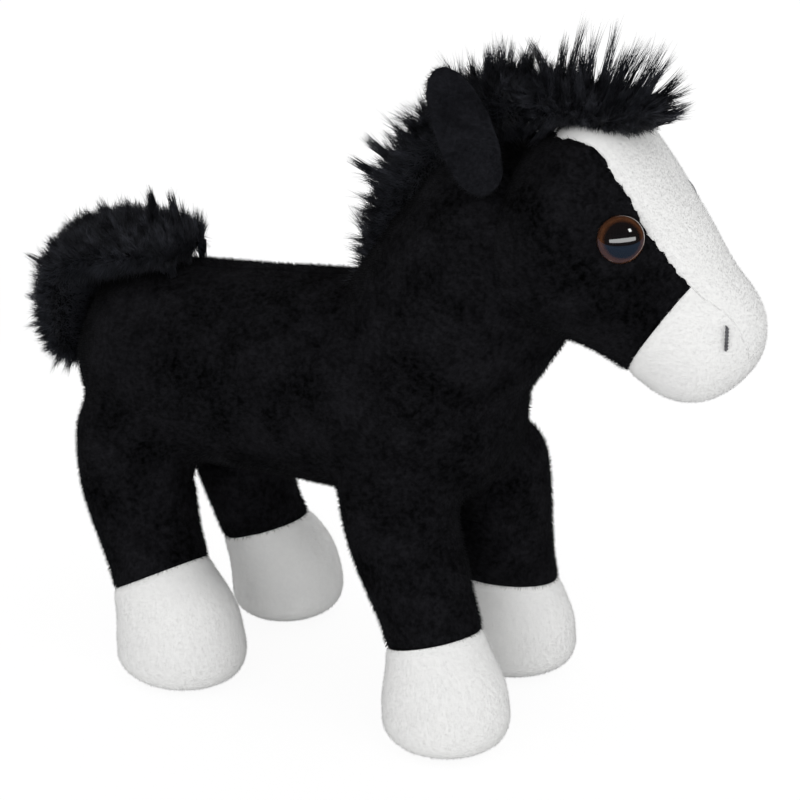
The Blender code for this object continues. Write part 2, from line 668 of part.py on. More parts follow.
def make_eye(word, frame):
    """Dome with a recess for the pupil, the post with its shank, and the washer on it."""
    dome_radius = (EYE_RADIUS ** 2 + EYE_DOME ** 2) / (2 * EYE_DOME)
    half_turn = math.asin(EYE_RADIUS / dome_radius)
    recess, roof = PUPIL_RADIUS + FIT, PUPIL_DEPTH + 2 * FIT
    profile = [(0.0, roof), (recess, roof), (recess, FIT)]
    for step in range(CAP_RINGS):
        angle = half_turn * (1.0 - step / CAP_RINGS)
        height = EYE_DOME + FIT - dome_radius * (1.0 - math.cos(angle))
        profile.append((dome_radius * math.sin(angle), height))
    profile.append((0.0, EYE_DOME + FIT))
    add_object(f"eye_{word}_dome", *turned(profile, frame), EYE_BROWN)
    pupil_top = FIT + PUPIL_DEPTH
    post = [(0.0, -SHANK_LENGTH), (SHANK_RADIUS, -SHANK_LENGTH), (SHANK_RADIUS, FIT)]
    post += [(PUPIL_RADIUS, FIT), (PUPIL_RADIUS, pupil_top), (0.0, pupil_top)]
    add_object(f"eye_{word}_post", *turned(post, frame), EYE_BLACK)
    top = -eye_seat_depth()
    disc = cylinder(WASHER_RADIUS, top - WASHER_DEPTH, top, frame)
    washer = add_object(f"eye_{word}_washer", *disc, WASHER_WHITE)
    bore = cylinder(SHANK_RADIUS + FIT, top - WASHER_DEPTH - FIT, top + FIT, frame)
    boolean(washer, add_cutter(f"washer_bore_guide_{word}", *bore))


def make_nostril(form, side, word):
    """A stitch of thread that lies on the nose."""
    lift = THREAD_RADIUS + FIT
    stations = []
    for part in np.linspace(0.0, 1.0, STITCH_STEPS + 1):
        share = NOSTRIL_START_SHARE + (NOSTRIL_END_SHARE - NOSTRIL_START_SHARE) * part
        degrees = NOSTRIL_START_ANGLE + (NOSTRIL_END_ANGLE - NOSTRIL_START_ANGLE) * part
        angle = np.array([math.radians(degrees * -side - HEAD_ROLL)])
        point = form.points(share, angle)[0] + form.normals(share, angle)[0] * lift
        stations.append((*point, THREAD_RADIUS, THREAD_RADIUS, THREAD_RADIUS))
    stitch = Form(stations, STITCH_CAP_SHARE, STITCH_CAP_SHARE, STITCH_SIDES)
    add_object(f"nostril_stitch_{word}", *closed_form(stitch), GREY_THREAD)


def make_leg(name, form, half, torso_envelope):
    """Filling, black skin, white foot and its flat sole."""
    sole_share = 1.0 - SOLE / form.length
    top_share = 1.0 - (SOLE + FIT) / form.length
    skin_end = SOCK_SEAM_SHARE - FIT / 2 / form.length
    foot_start = SOCK_SEAM_SHARE + FIT / 2 / form.length
    form.breaks = [skin_end, foot_start]
    filling = closed_form(form, FABRIC + FIT, 0.0, top_share)
    skin = open_skin(form, FABRIC, 0.0, skin_end)
    pieces = [add_object(f"{name}_leg_filling", *filling, FILLING)]
    pieces.append(add_object(f"{name}_leg_skin", *skin, BLACK_PLUSH))
    foot = tube_form(form, FABRIC, foot_start, top_share)
    add_object(f"{name}_foot", *foot, WHITE_PLUSH)
    add_object(f"{name}_sole", *closed_form(form, 0.0, sole_share, 1.0), WHITE_PLUSH)
    for piece in pieces:
        boolean(piece, half, "INTERSECT")
        boolean(piece, torso_envelope)


def ear_thickness(share):
    """Thickness of one layer along the ear's middle line: thin at the seam and at the tip."""
    full = math.sin(math.pi * min(1.0, share + EAR_ROOT_SHARE) ** EAR_BLUNT_SHARE)
    return EAR_EDGE + (EAR_LAYER - EAR_EDGE) * full


def ear_frame(neck, side):
    """Places an ear on its seam: X along the seam, Y towards the tip, Z out from the head.

    The seam lies along the neck's surface, and stands off it by the ear's thickness there,
    so that the ear can turn.
    """
    angle = np.array([math.radians(EAR_ANGLE) * -side])
    normal = Vector(neck.normals(EAR_SHARE, angle)[0])
    standoff = ear_thickness(0.0) + FIT / 2
    place = Vector(neck.points(EAR_SHARE, angle)[0]) + normal * standoff
    lean = math.radians(EAR_LEAN_LEFT if side == LEFT else EAR_LEAN_RIGHT)
    seam = Vector((math.cos(lean), 0.0, math.sin(lean)))
    seam = (seam - normal * seam.dot(normal)).normalized()
    tip = Vector((-math.sin(lean), 0.0, math.cos(lean)))
    tip = (tip - seam * tip.dot(seam)).normalized()
    out = seam.cross(tip) * -side
    turn = Matrix((seam, tip, out)).transposed().to_4x4()
    return Matrix.Translation(place) @ turn


def make_ear(word, side, neck):
    """Two leaf-shaped layers, face to face, cupped, thin at the seam and at their edges."""
    frame = ear_frame(neck, side)
    origin = tuple(frame.translation)
    for layer, sign in (("outer", 1), ("lining", -1)):
        rings = []
        for share, width in EAR_SHARES:
            across = np.linspace(-1.0, 1.0, EAR_STEPS)
            reach = EAR_EDGE + (ear_thickness(share) - EAR_EDGE) * (1.0 - across ** 2)
            bend = EAR_CUP * (across ** 2) * width * share
            x = across * EAR_HALF_WIDTH * width - EAR_SWEEP * share ** EAR_SWEEP_POWER
            y = np.full(EAR_STEPS, share * EAR_LENGTH)
            near = bend + sign * FIT / 2
            far = near + sign * reach
            loop = list(zip(x, y, near)) + list(zip(x, y, far))[::-1]
            rings.append(np.array([tuple(frame @ Vector(corner)) for corner in loop]))
        points, faces = ring_surface(rings)
        ear = add_object(f"ear_{word}_{layer}", points, faces, BLACK_PLUSH, origin)
        turn_faces_out(ear)


def turn_faces_out(made):
    """Makes the faces of a closed mesh point out of it."""
    mesh = bmesh.new()
    mesh.from_mesh(made.data)
    bmesh.ops.recalc_face_normals(mesh, faces=mesh.faces)
    mesh.to_mesh(made.data)
    mesh.free()


def forelock_start():
    """Where the forelock starts: over the poll, where the mane ends."""
    above = SKULL_RADIUS + FORELOCK_LIFT + FORELOCK_DEPTH
    return skull_centre() + Vector((-SKULL_RADIUS * FORELOCK_START_SHARE, 0.0, above))


def make_mane(larger):
    """A ridge of long pile along the neck's back, up to the forelock."""
    stations = []
    for reach, climb, width, depth in MANE_SHARES:
        thick = MANE_DEPTH * depth
        stations.append((*neck_point(reach, climb), MANE_HALF_WIDTH * width, thick, thick))
    form = Form(stations, PILE_CAP_SHARE, PILE_CAP_SHARE, PILE_SIDES)
    ways = MANE_LEAN_SHARES, MANE_FACING_SHARES
    points, faces = add_locks(closed_form(form), MANE_LOCK, *ways, larger)
    mane = add_object("mane", points, faces, LONG_PILE)
    front_low = forelock_start().x - FIT, -OVERRUN, -OVERRUN
    ahead = add_cutter("mane_end_guide", *block(front_low, (OVERRUN, OVERRUN, OVERRUN)))
    for cutter in larger + [ahead]:
        boolean(mane, cutter)


def make_forelock(larger):
    """A brush of long pile that starts at the poll and reaches over the brow."""
    start = forelock_start()
    stations = []
    for along, up, width, depth in FORELOCK_SHARES:
        point = start.x + FORELOCK_LENGTH * along, 0.0, start.z + FORELOCK_DEPTH * up
        thick = FORELOCK_DEPTH * depth
        stations.append((*point, FORELOCK_HALF_WIDTH * width, thick, thick))
    form = Form(stations, PILE_CAP_SHARE, PILE_CAP_SHARE, PILE_SIDES)
    ways = FORELOCK_LEAN_SHARES, FORELOCK_FACING_SHARES
    points, faces = add_locks(closed_form(form), FORELOCK_LOCK, *ways, larger)
    forelock = add_object("forelock", points, faces, LONG_PILE)
    back_high = start.x, OVERRUN, OVERRUN
    behind = add_cutter("forelock_start_guide", *block((-OVERRUN, -OVERRUN, -OVERRUN), back_high))
    for cutter in larger + [behind]:
        boolean(forelock, cutter)


def tail_root():
    """Where the tail's tab is sewn: the top of the rump."""
    return TORSO_REAR + TORSO_LENGTH * TAIL_ROOT_SHARE, 0.0, TORSO_HEIGHT + TORSO_RISE + FIT


def make_tail(torso_envelope):
    """Long pile that starts at the tab and falls over the rump."""
    stations = []
    for back, up, width, depth in TAIL_SHARES:
        point = TORSO_REAR - TORSO_RISE * back, 0.0, TORSO_HEIGHT + TORSO_RISE * up
        stations.append((*point, TAIL_HALF_WIDTH * width, TAIL_DEPTH * depth, TAIL_DEPTH * depth))
    form = Form(stations, PILE_CAP_SHARE, PILE_CAP_SHARE, PILE_SIDES)
    ways = TAIL_LEAN_SHARES, TAIL_FACING_SHARES
    points, faces = add_locks(closed_form(form), TAIL_LOCK, *ways, [torso_envelope])
    tail = add_object("tail", points, faces, LONG_PILE, tail_root())
    boolean(tail, torso_envelope)


def centre_footprint():
    """Moves the whole part so that its box stands on the origin."""
    bpy.context.view_layer.update()
    graph = bpy.context.evaluated_depsgraph_get()
    corners = []
    for made in bpy.data.objects:
        if made.type == "MESH" and not made.hide_render:
            shown = made.evaluated_get(graph)
            corners += [made.matrix_world @ vertex.co for vertex in shown.data.vertices]
    low, high = np.min(corners, axis=0), np.max(corners, axis=0)
    ROOT.location = -(low[0] + high[0]) / 2, -(low[1] + high[1]) / 2, -low[2]
    bpy.context.view_layer.update()


for old in list(bpy.data.objects):
    bpy.data.objects.remove(old, do_unlink=True)

ROOT = bpy.data.objects.new("horse", None)
bpy.context.collection.objects.link(ROOT)

torso, neck, head = torso_form(), neck_form(), head_form()
halves = {RIGHT: half_block("right_side_guide", RIGHT), LEFT: half_block("left_side_guide", LEFT)}
torso_envelope = add_cutter("torso_envelope", *closed_form(torso, -FIT))
neck_envelope = add_cutter("neck_envelope", *closed_form(neck, -FIT))
head_envelope = add_cutter("head_envelope", *closed_form(head, -FIT))
eyes = {side: eye_frame(head, side) for side in (RIGHT, LEFT)}

bpy.context.view_layer.update()
make_torso(torso, halves)
make_neck(neck, halves, [torso_envelope, head_envelope])
make_head(head, halves, eyes)
for side, word in ((RIGHT, "right"), (LEFT, "left")):
    make_eye(word, eyes[side])
    make_nostril(head, side, word)
    make_ear(word, side, neck)
    lead = 1 if side == LEFT else 0
    front_places = FRONT_HIP_X + CHEST_STEP * lead, FRONT_FOOT_X + FRONT_STEP * lead
    hind_places = HIND_HIP_X + RUMP_STEP * lead, HIND_FOOT_X + HIND_STEP * lead
    front = leg_form(*front_places, FRONT_OUT_SHARES, side, LEG_FULLNESS[f"front_{word}"])
    hind = leg_form(*hind_places, HIND_OUT_SHARES, side, LEG_FULLNESS[f"hind_{word}"])
    make_leg(f"front_{word}", front, halves[side], torso_envelope)
    make_leg(f"hind_{word}", hind, halves[side], torso_envelope)
make_mane([torso_envelope, neck_envelope, head_envelope])
make_forelock([neck_envelope, head_envelope])
make_tail(torso_envelope)
centre_footprint()
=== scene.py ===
# %% [markdown]
# # A plush horse, step by step
#
# The real toy is sewn from short-pile fabric and stuffed with polyester. A plush surface is
# three things at once: a soft, swelling form, the seams that hold it in, and the pile that
# stands on it. Each is made in its own step here, and every measure is in metres.

# %% Load the frame
import math
from functools import partial

import bmesh
import bpy
import numpy as np
from mathutils import Matrix, Vector


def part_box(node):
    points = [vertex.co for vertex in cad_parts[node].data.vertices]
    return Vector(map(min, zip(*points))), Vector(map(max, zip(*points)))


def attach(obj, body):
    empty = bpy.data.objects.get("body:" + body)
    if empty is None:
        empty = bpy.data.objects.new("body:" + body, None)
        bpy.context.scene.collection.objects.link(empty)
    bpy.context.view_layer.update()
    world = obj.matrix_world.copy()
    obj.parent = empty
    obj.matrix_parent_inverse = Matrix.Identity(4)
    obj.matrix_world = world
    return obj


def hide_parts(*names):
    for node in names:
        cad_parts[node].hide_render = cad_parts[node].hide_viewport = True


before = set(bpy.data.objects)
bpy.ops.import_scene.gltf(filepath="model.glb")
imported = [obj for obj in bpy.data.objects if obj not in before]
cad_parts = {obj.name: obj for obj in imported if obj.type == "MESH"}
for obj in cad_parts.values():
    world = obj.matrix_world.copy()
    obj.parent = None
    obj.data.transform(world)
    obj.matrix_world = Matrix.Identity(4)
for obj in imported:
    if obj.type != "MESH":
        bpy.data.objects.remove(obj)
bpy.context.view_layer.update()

MM = 0.001
TAU = 2 * math.pi
TINY = 1e-12
BODY = "horse"
SIDES = (("right", -1), ("left", 1))
print("nodes in the frame:", len(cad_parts))

# %% [markdown]
# ## The camera
#
# A small object photographed from some way off shows little perspective, so the lens is long.
# The horse is seen from its right side, from ahead and from above. The lens shift moves the
# picture without tilting the camera.

# %% Camera
# The design is drawn round the middle of the four feet; the frame's origin is the middle of
# the box. The torso's filling shows how far apart the two are.
TORSO_REAR = -0.0820
FILLING_DEPTH = 0.0023
torso_low, torso_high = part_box("torso_filling")
SHIFT = np.array([torso_low.x - TORSO_REAR - FILLING_DEPTH, (torso_low.y + torso_high.y) / 2, 0.0])
print("design to frame, mm:", np.round(SHIFT / MM, 2))

AZIMUTH, ELEVATION = math.radians(28.14), math.radians(23.09)
TARGET_HEIGHT, CAMERA_DISTANCE = 0.095, 1.0
TARGET = Vector(SHIFT) + Vector((0.0, 0.0, TARGET_HEIGHT))
FOCAL_PIXELS, PICTURE_PIXELS, SENSOR_WIDTH = 3830.0, 800.0, 36.0
CENTRE_PIXEL = 355.35, 345.36

camera_back = Vector((
    math.sin(AZIMUTH) * math.cos(ELEVATION),
    -math.cos(AZIMUTH) * math.cos(ELEVATION),
    math.sin(ELEVATION),
))
camera_right = Vector((math.cos(AZIMUTH), math.sin(AZIMUTH), 0.0))
camera_up = camera_back.cross(camera_right)
camera = bpy.data.objects.new("camera", bpy.data.cameras.new("camera"))
bpy.context.collection.objects.link(camera)
turn = Matrix((camera_right, camera_up, camera_back)).transposed().to_4x4()
camera.matrix_world = Matrix.Translation(TARGET + camera_back * CAMERA_DISTANCE) @ turn
camera.data.sensor_width = SENSOR_WIDTH
camera.data.lens = FOCAL_PIXELS / PICTURE_PIXELS * SENSOR_WIDTH
camera.data.shift_x = 0.5 - CENTRE_PIXEL[0] / PICTURE_PIXELS
camera.data.shift_y = CENTRE_PIXEL[1] / PICTURE_PIXELS - 0.5
bpy.context.scene.camera = camera
print("lens, mm:", round(camera.data.lens, 1))

# %% [markdown]
# ## Meshes from arrays
#
# A grid of points becomes a surface when each point is joined to its neighbours. Writing
# whole arrays into the mesh is much faster than adding one face at a time.

# %% Mesh helpers
def mesh_object(name, points, faces):
    """An object from an array of points and one array of faces with equally many corners."""
    points, faces = np.asarray(points, np.float32), np.asarray(faces, np.int32)
    corners = faces.shape[1]
    mesh = bpy.data.meshes.new(name)
    mesh.vertices.add(len(points))
    mesh.vertices.foreach_set("co", points.ravel())
    mesh.loops.add(faces.size)
    mesh.loops.foreach_set("vertex_index", faces.ravel())
    mesh.polygons.add(len(faces))
    mesh.polygons.foreach_set("loop_start", np.arange(0, faces.size, corners, dtype=np.int32))
    mesh.update(calc_edges=True)
    mesh.shade_smooth()
    made = bpy.data.objects.new(name, mesh)
    bpy.context.collection.objects.link(made)
    return made


def grid_faces(rows, columns):
    """Quads of a grid of points whose last column joins the first."""
    row, column = np.arange(rows - 1)[:, None], np.arange(columns)[None, :]
    low, high = row * columns, (row + 1) * columns
    after = (column + 1) % columns
    return np.stack([low + column, low + after, high + after, high + column], -1).reshape(-1, 4)


def coordinates(mesh):
    """All vertex positions of a mesh as one array."""
    flat = np.empty(len(mesh.vertices) * 3, np.float32)
    mesh.vertices.foreach_get("co", flat)
    return flat.reshape(-1, 3).astype(float)


def normals_of(mesh):
    """All vertex normals of a mesh as one array."""
    flat = np.empty(len(mesh.vertices) * 3, np.float32)
    mesh.vertex_normals.foreach_get("vector", flat)
    return flat.reshape(-1, 3).astype(float)


def set_coordinates(mesh, points):
    """Moves all vertices of a mesh to new positions."""
    mesh.vertices.foreach_set("co", np.asarray(points, np.float32).ravel())
    mesh.update()


def apply_modifiers(made):
    """Replaces the mesh by what its modifiers show, and removes them."""
    graph = bpy.context.evaluated_depsgraph_get()
    shown = bpy.data.meshes.new_from_object(made.evaluated_get(graph))
    made.modifiers.clear()
    old, made.data = made.data, shown
    bpy.data.meshes.remove(old)
    made.data.shade_smooth()


SAME_POINT = 1e-6


def weld(made, outwards=False):
    """Merges points that coincide, such as those of a pole, and may turn all faces outwards."""
    mesh = bmesh.new()
    mesh.from_mesh(made.data)
    bmesh.ops.remove_doubles(mesh, verts=mesh.verts, dist=SAME_POINT)
    bmesh.ops.dissolve_degenerate(mesh, edges=mesh.edges, dist=SAME_POINT)
    if outwards:
        bmesh.ops.recalc_face_normals(mesh, faces=mesh.faces)
    mesh.to_mesh(made.data)
    mesh.free()


def closed_ends(rows):
    """Rows of points, with one more at each end whose points all lie in that end's middle."""
    first, last = rows[:1].mean(axis=1, keepdims=True), rows[-1:].mean(axis=1, keepdims=True)
    columns = rows.shape[1]
    return np.concatenate([first.repeat(columns, 1), rows, last.repeat(columns, 1)])


def unit(vectors):
    """Vectors of length one."""
    vectors = np.asarray(vectors, float)
    return vectors / np.maximum(np.linalg.norm(vectors, axis=-1, keepdims=True), TINY)


print("mesh helpers ready")

# %% [markdown]
# ## A stuffed segment
#
# Filling presses the fabric into round sections. A segment is therefore an oval ring that is
# carried along a smooth line: wide where the pattern is wide, closing in a round cap at its
# end. The same formula gives the torso, the neck, the head and the legs.

# %% The segment's formula
NORMAL_STEP = 0.002


class Segment:
    """Rings along a line through stations (x, y, z, half-width, upper reach, lower reach).

    Between two stations every value is a cubic with the stations' slopes. A ring's point at
    angle a is centre + reach * cos(a) * front + half-width * sin(a) * side, and both sizes
    are multiplied in a cap by the square root of 1 - u * u, where u runs from 0 to 1.
    """

    def __init__(self, stations, start_cap=0.0, end_cap=0.0):
        self.table = np.array(stations, float)
        self.table[:, :3] += SHIFT
        steps = np.linalg.norm(np.diff(self.table[:, :3], axis=0), axis=1)
        self.length = steps.sum()
        self.knots = np.concatenate([[0.0], np.cumsum(steps)]) / self.length
        self.slopes = np.gradient(self.table, self.knots, axis=0)
        self.caps = start_cap, end_cap

    def line(self, shares):
        """The station values and the line's unit direction at an array of shares."""
        shares = np.atleast_1d(np.asarray(shares, float))
        last = len(self.knots) - 2
        k = np.clip(np.searchsorted(self.knots, shares) - 1, 0, last)
        span = self.knots[k + 1] - self.knots[k]
        t = ((shares - self.knots[k]) / span)[:, None]
        low, high = self.table[k], self.table[k + 1]
        leave, arrive = self.slopes[k] * span[:, None], self.slopes[k + 1] * span[:, None]
        values = (1 + 2 * t) * (1 - t) ** 2 * low + t * (1 - t) ** 2 * leave
        values += t * t * (3 - 2 * t) * high + t * t * (t - 1) * arrive
        along = 6 * t * (t - 1) * low + (1 - t) * (1 - 3 * t) * leave
        along += 6 * t * (1 - t) * high + t * (3 * t - 2) * arrive
        return values, unit(along[:, :3])

    def swell(self, shares):
        """1 between the caps, and a quarter circle down to 0 in them."""
        round_off = np.ones(shares.shape)
        for gap, cap in ((shares, self.caps[0]), (1.0 - shares, self.caps[1])):
            if cap:
                u = 1.0 - np.clip(gap / cap, 0.0, 1.0)
                round_off *= np.sqrt(np.maximum(0.0, 1.0 - u * u))
        return round_off

    def at(self, shares, angles):
        """Points at pairs of share and angle: angle 0 is the upper or front side."""
        shares, angles = np.broadcast_arrays(np.asarray(shares, float), np.asarray(angles, float))
        values, axis = self.line(shares.ravel())
        front = np.stack([-axis[:, 2], np.zeros(len(axis)), axis[:, 0]], -1)
        front = unit(front - axis * (front * axis).sum(1, keepdims=True))
        side = np.cross(axis, front)
        size, angle = self.swell(shares.ravel()), angles.ravel()
        reach = np.where(np.cos(angle) > 0, values[:, 4], values[:, 5]) * size * np.cos(angle)
        width = values[:, 3] * size * np.sin(angle)
        placed = values[:, :3] + reach[:, None] * front + width[:, None] * side
        return placed.reshape(*shares.shape, 3)

    def outward(self, shares, angles):
        """Unit normals at pairs: the cross product of a step round and a step along."""
        middle = np.clip(shares, 2 * NORMAL_STEP, 1 - 2 * NORMAL_STEP)
        around = self.at(middle, angles + NORMAL_STEP) - self.at(middle, angles - NORMAL_STEP)
        along = self.at(middle + NORMAL_STEP, angles) - self.at(middle - NORMAL_STEP, angles)
        return unit(np.cross(around, along))

    def points(self, shares, angles):
        """A grid of points: a row for each share, a column for each angle."""
        return self.at(np.asarray(shares)[:, None], np.asarray(angles)[None, :])

    def normals(self, shares, angles):
        """The outward normals of the same grid."""
        return self.outward(np.asarray(shares)[:, None], np.asarray(angles)[None, :])


print("a segment is ready to be filled with points")

# %% [markdown]
# ### Rings that crowd in the caps
#
# Evenly spaced rings would leave a cap with a blunt end, because a quarter circle turns fastest
# where it closes. So the rings in a cap are spaced by equal angles of that quarter circle.

# %% A closed surface from a segment
def cap_shares(segment, rows, end=1.0):
    """Shares of rings: even along the sides, low * (1 - cos(angle)) in a cap."""
    even = np.linspace(0.0, 1.0, rows)
    crowded = even.copy()
    low, high = segment.caps
    if low:
        part = np.clip(even / low, 0, 1)
        crowded = np.where(even < low, low * (1 - np.cos(part * math.pi / 2)), crowded)
    if high:
        part = np.clip((1 - even) / high, 0, 1)
        crowded = np.where(even > 1 - high, 1 - high * (1 - np.cos(part * math.pi / 2)), crowded)
    return np.concatenate([[0.0], crowded[(crowded > 0.0) & (crowded < end)], [end]])


def closed_segment(name, segment, depth=0.0, rows=60, columns=64, end=1.0):
    """A segment's surface, drawn in by a depth along its normals.

    An end without a cap is closed flat, and a start without one stays open inside the torso.
    """
    shares = cap_shares(segment, rows, end)
    angles = np.linspace(0, TAU, columns, endpoint=False)
    points = segment.points(shares, angles) - segment.normals(shares, angles) * depth
    if segment.caps[0]:
        points[0] = points[0].mean(axis=0)
    points[-1] = points[-1].mean(axis=0)
    made = mesh_object(name, points.reshape(-1, 3), grid_faces(len(shares), columns))
    weld(made)
    return made


print("segments can be closed")

# %% [markdown]
# ## The horse's measures
#
# The tables below are the pattern: where each segment runs, and how thick it is along the
# way. They are the same measures as the frame's. A row's numbers are shares of the named sizes
# above it, so the toy grows or slims when one size is changed.

# %% Pattern of the torso
TORSO_CAPS = 0.21, 0.19
TORSO_LENGTH, TORSO_HEIGHT, TORSO_LIFT = 0.131, 0.0815, 0.0045
TORSO_HALF_WIDTH, TORSO_RISE, TORSO_DROP = 0.0270, 0.0275, 0.0270
# along the torso, how far it is lifted, half-width, reach up, reach down
TORSO_TABLE = (
    (0.00, 0.00, 0.96, 0.96, 0.97),
    (0.22, 0.00, 1.00, 1.01, 1.02),
    (0.45, 0.25, 0.97, 1.11, 1.03),
    (0.70, 0.80, 0.98, 1.17, 1.10),
    (1.00, 1.00, 0.95, 1.00, 1.08),
)
torso = Segment([
    (TORSO_REAR + TORSO_LENGTH * along, 0.0, TORSO_HEIGHT + TORSO_LIFT * lift,
     TORSO_HALF_WIDTH * width, TORSO_RISE * rise, TORSO_DROP * drop)
    for along, lift, width, rise, drop in TORSO_TABLE
], *TORSO_CAPS)
print("torso, mm:", round(torso.length / MM, 1))

# %% [markdown]
# ### Neck
#
# The neck climbs out of the shoulders and is deeper than it is wide. Its lower end is open and
# hidden in the torso, and its upper end is a round cap inside the skull.

# %% Pattern of the neck
NECK_CAP = 0.27
NECK_BASE, NECK_REACH, NECK_CLIMB = (0.0140, 0.0880), 0.0440, 0.0660
NECK_HALF_WIDTH, NECK_FRONT = 0.0250, 0.0265
# forwards, upwards, half-width, reach to the back, reach to the front
NECK_TABLE = (
    (0.00, 0.00, 0.94, 1.00, 1.10),
    (0.36, 0.40, 0.98, 1.00, 1.15),
    (0.74, 0.76, 1.00, 0.96, 1.04),
    (1.00, 1.00, 1.00, 0.94, 0.96),
)


def neck_place(reach, climb):
    """A point of the middle plane, by shares of the neck's reach and climb."""
    return NECK_BASE[0] + NECK_REACH * reach, 0.0, NECK_BASE[1] + NECK_CLIMB * climb


neck = Segment([
    (*neck_place(reach, climb), NECK_HALF_WIDTH * width, NECK_FRONT * back, NECK_FRONT * front)
    for reach, climb, width, back, front in NECK_TABLE
], 0.0, NECK_CAP)
print("neck, mm:", round(neck.length / MM, 1))

# %% [markdown]
# ### Head
#
# The head is two balls, the skull and the muzzle, joined by full sides that slope down to the
# nose. The whole face is turned a little to the left, as on a toy that was stuffed by hand.

# %% Pattern of the head
SKULL_CAP = 0.27
SKULL, SKULL_RADIUS = np.array([0.0680, 0.0, 0.1370]), 0.0278
MUZZLE_REACH, MUZZLE_DROP, MUZZLE_RADIUS = 0.0284, 0.0184, 0.0172
POLL_FULLNESS, BROW_FULLNESS, FACE_FULLNESS, JAW_FULLNESS = 1.35, 1.09, 1.10, 0.95
NOSE_FACE, NOSE_JAW, HEAD_WIDTH = 1.10, 1.20, 0.98
HEAD_APART = math.hypot(MUZZLE_REACH, MUZZLE_DROP)
HEAD_LENGTH = SKULL_RADIUS + HEAD_APART + MUZZLE_RADIUS
HEAD_ALONG = np.array([MUZZLE_REACH, 0.0, -MUZZLE_DROP]) / HEAD_APART
HEAD_UP = np.array([-HEAD_ALONG[2], 0.0, HEAD_ALONG[0]])
HEAD_ROLL = math.radians(5.0)


def head_angle(degrees, side):
    """The angle of an eye or a stitch round the head: the face leans a little to the left."""
    return -side * np.radians(degrees) - HEAD_ROLL


def head_stations():
    """Two balls joined by full sides, from the back of the skull to the nose."""
    middle = (SKULL_RADIUS + MUZZLE_RADIUS) / 2
    rows = (
        (-SKULL_RADIUS, SKULL_RADIUS, POLL_FULLNESS, 1.0),
        (0.0, SKULL_RADIUS, BROW_FULLNESS, 1.0),
        (HEAD_APART / 2, middle, FACE_FULLNESS, JAW_FULLNESS),
        (HEAD_APART, MUZZLE_RADIUS, NOSE_FACE, NOSE_JAW),
        (HEAD_APART + MUZZLE_RADIUS, MUZZLE_RADIUS, NOSE_FACE, NOSE_JAW),
    )
    for place, radius, face, jaw in rows:
        yield (*(SKULL + HEAD_ALONG * place), radius * HEAD_WIDTH, radius * face, radius * jaw)


head = Segment(list(head_stations()), SKULL_CAP, MUZZLE_RADIUS / HEAD_LENGTH)
print("head, mm:", round(HEAD_LENGTH / MM, 1))

# %% [markdown]
# ### Legs
#
# Each leg is a tube that starts inside the torso, stays straight to the knee and swells into
# the foot. The four differ only in where they stand, how they swing out and how full they are.

# %% Pattern of the legs
HIP_HEIGHT, HIP_HALF_TRACK, FOOT_HALF_TRACK = 0.0780, 0.0140, 0.0240
LEG_HALF_WIDTH, LEG_HALF_LENGTH, HIP_CAP = 0.0145, 0.0150, 0.17
SOCK_SHARE, SOLE_THICKNESS = 0.655, 0.0022
# down the leg, half-width, reach to the front, reach to the back
LEG_TABLE = (
    (0.00, 1.00, 1.04, 1.14),
    (0.33, 1.02, 1.02, 1.10),
    (0.66, 0.94, 0.94, 0.92),
    (0.85, 1.12, 1.20, 1.14),
    (0.96, 1.11, 1.11, 1.07),
    (1.00, 0.98, 0.92, 0.90),
)
FRONT_OUT = (0.0, 0.28, 0.80, 0.96, 1.0, 1.0)
HIND_OUT = (0.0, 0.08, 0.55, 0.93, 1.0, 1.0)
# name: X of the hip, X of the foot, side (-1 is the right), how the leg swings out, fullness
LEGS = {
    "front_right": (0.0178, 0.0395, -1, FRONT_OUT, 1.0),
    "front_left": (0.0322, 0.0345, 1, FRONT_OUT, 1.07),
    "hind_right": (-0.0598, -0.0402, -1, HIND_OUT, 1.06),
    "hind_left": (-0.0443, -0.0340, 1, HIND_OUT, 0.90),
}


def leg_segment(hip_x, foot_x, side, out_shares, fullness):
    """A leg from its hip inside the torso to its flat sole."""
    stations = []
    for (down, width, front, back), out in zip(LEG_TABLE, out_shares):
        fuller = fullness if down else 1.0
        x = hip_x + (foot_x - hip_x) * out
        y = side * (HIP_HALF_TRACK + (FOOT_HALF_TRACK - HIP_HALF_TRACK) * out)
        reaches = LEG_HALF_LENGTH * front * fuller, LEG_HALF_LENGTH * back * fuller
        stations.append((x, y, HIP_HEIGHT * (1 - down), LEG_HALF_WIDTH * width, *reaches))
    return Segment(stations, HIP_CAP, 0.0)


legs = {name: leg_segment(*facts) for name, facts in LEGS.items()}
# how much more the sock seams rise towards +X and towards +Y than a cut square to the leg
SOCK_TILTS = {
    "front_right": (0.0, 0.0),
    "front_left": (0.0, -0.33),
    "hind_right": (0.12, 0.0),
    "hind_left": (0.10, -0.30),
}
print("legs, mm:", [round(leg.length / MM, 1) for leg in legs.values()])

# %% [markdown]
# ## Shader building blocks
#
# Plush is never one flat colour. The pile leans this way and that, so a patch a centimetre
# wide catches more light than the next, and single tufts make a fine grain on top. One node
# group makes that mottling, and each fabric uses it with its own colours.

# %% Node helpers
def new_material(name, roughness, specular=0.3, sheen=0.0, sheen_roughness=0.4, coat=0.0):
    """A Principled material with its uniform numbers set on the shader itself."""
    made = bpy.data.materials.new(name)
    made.use_nodes = True
    shader = made.node_tree.nodes["Principled BSDF"]
    shader.inputs["Roughness"].default_value = roughness
    shader.inputs["Specular IOR Level"].default_value = specular
    shader.inputs["Sheen Weight"].default_value = sheen
    shader.inputs["Sheen Roughness"].default_value = sheen_roughness
    shader.inputs["Coat Weight"].default_value = coat
    return made, made.node_tree, shader


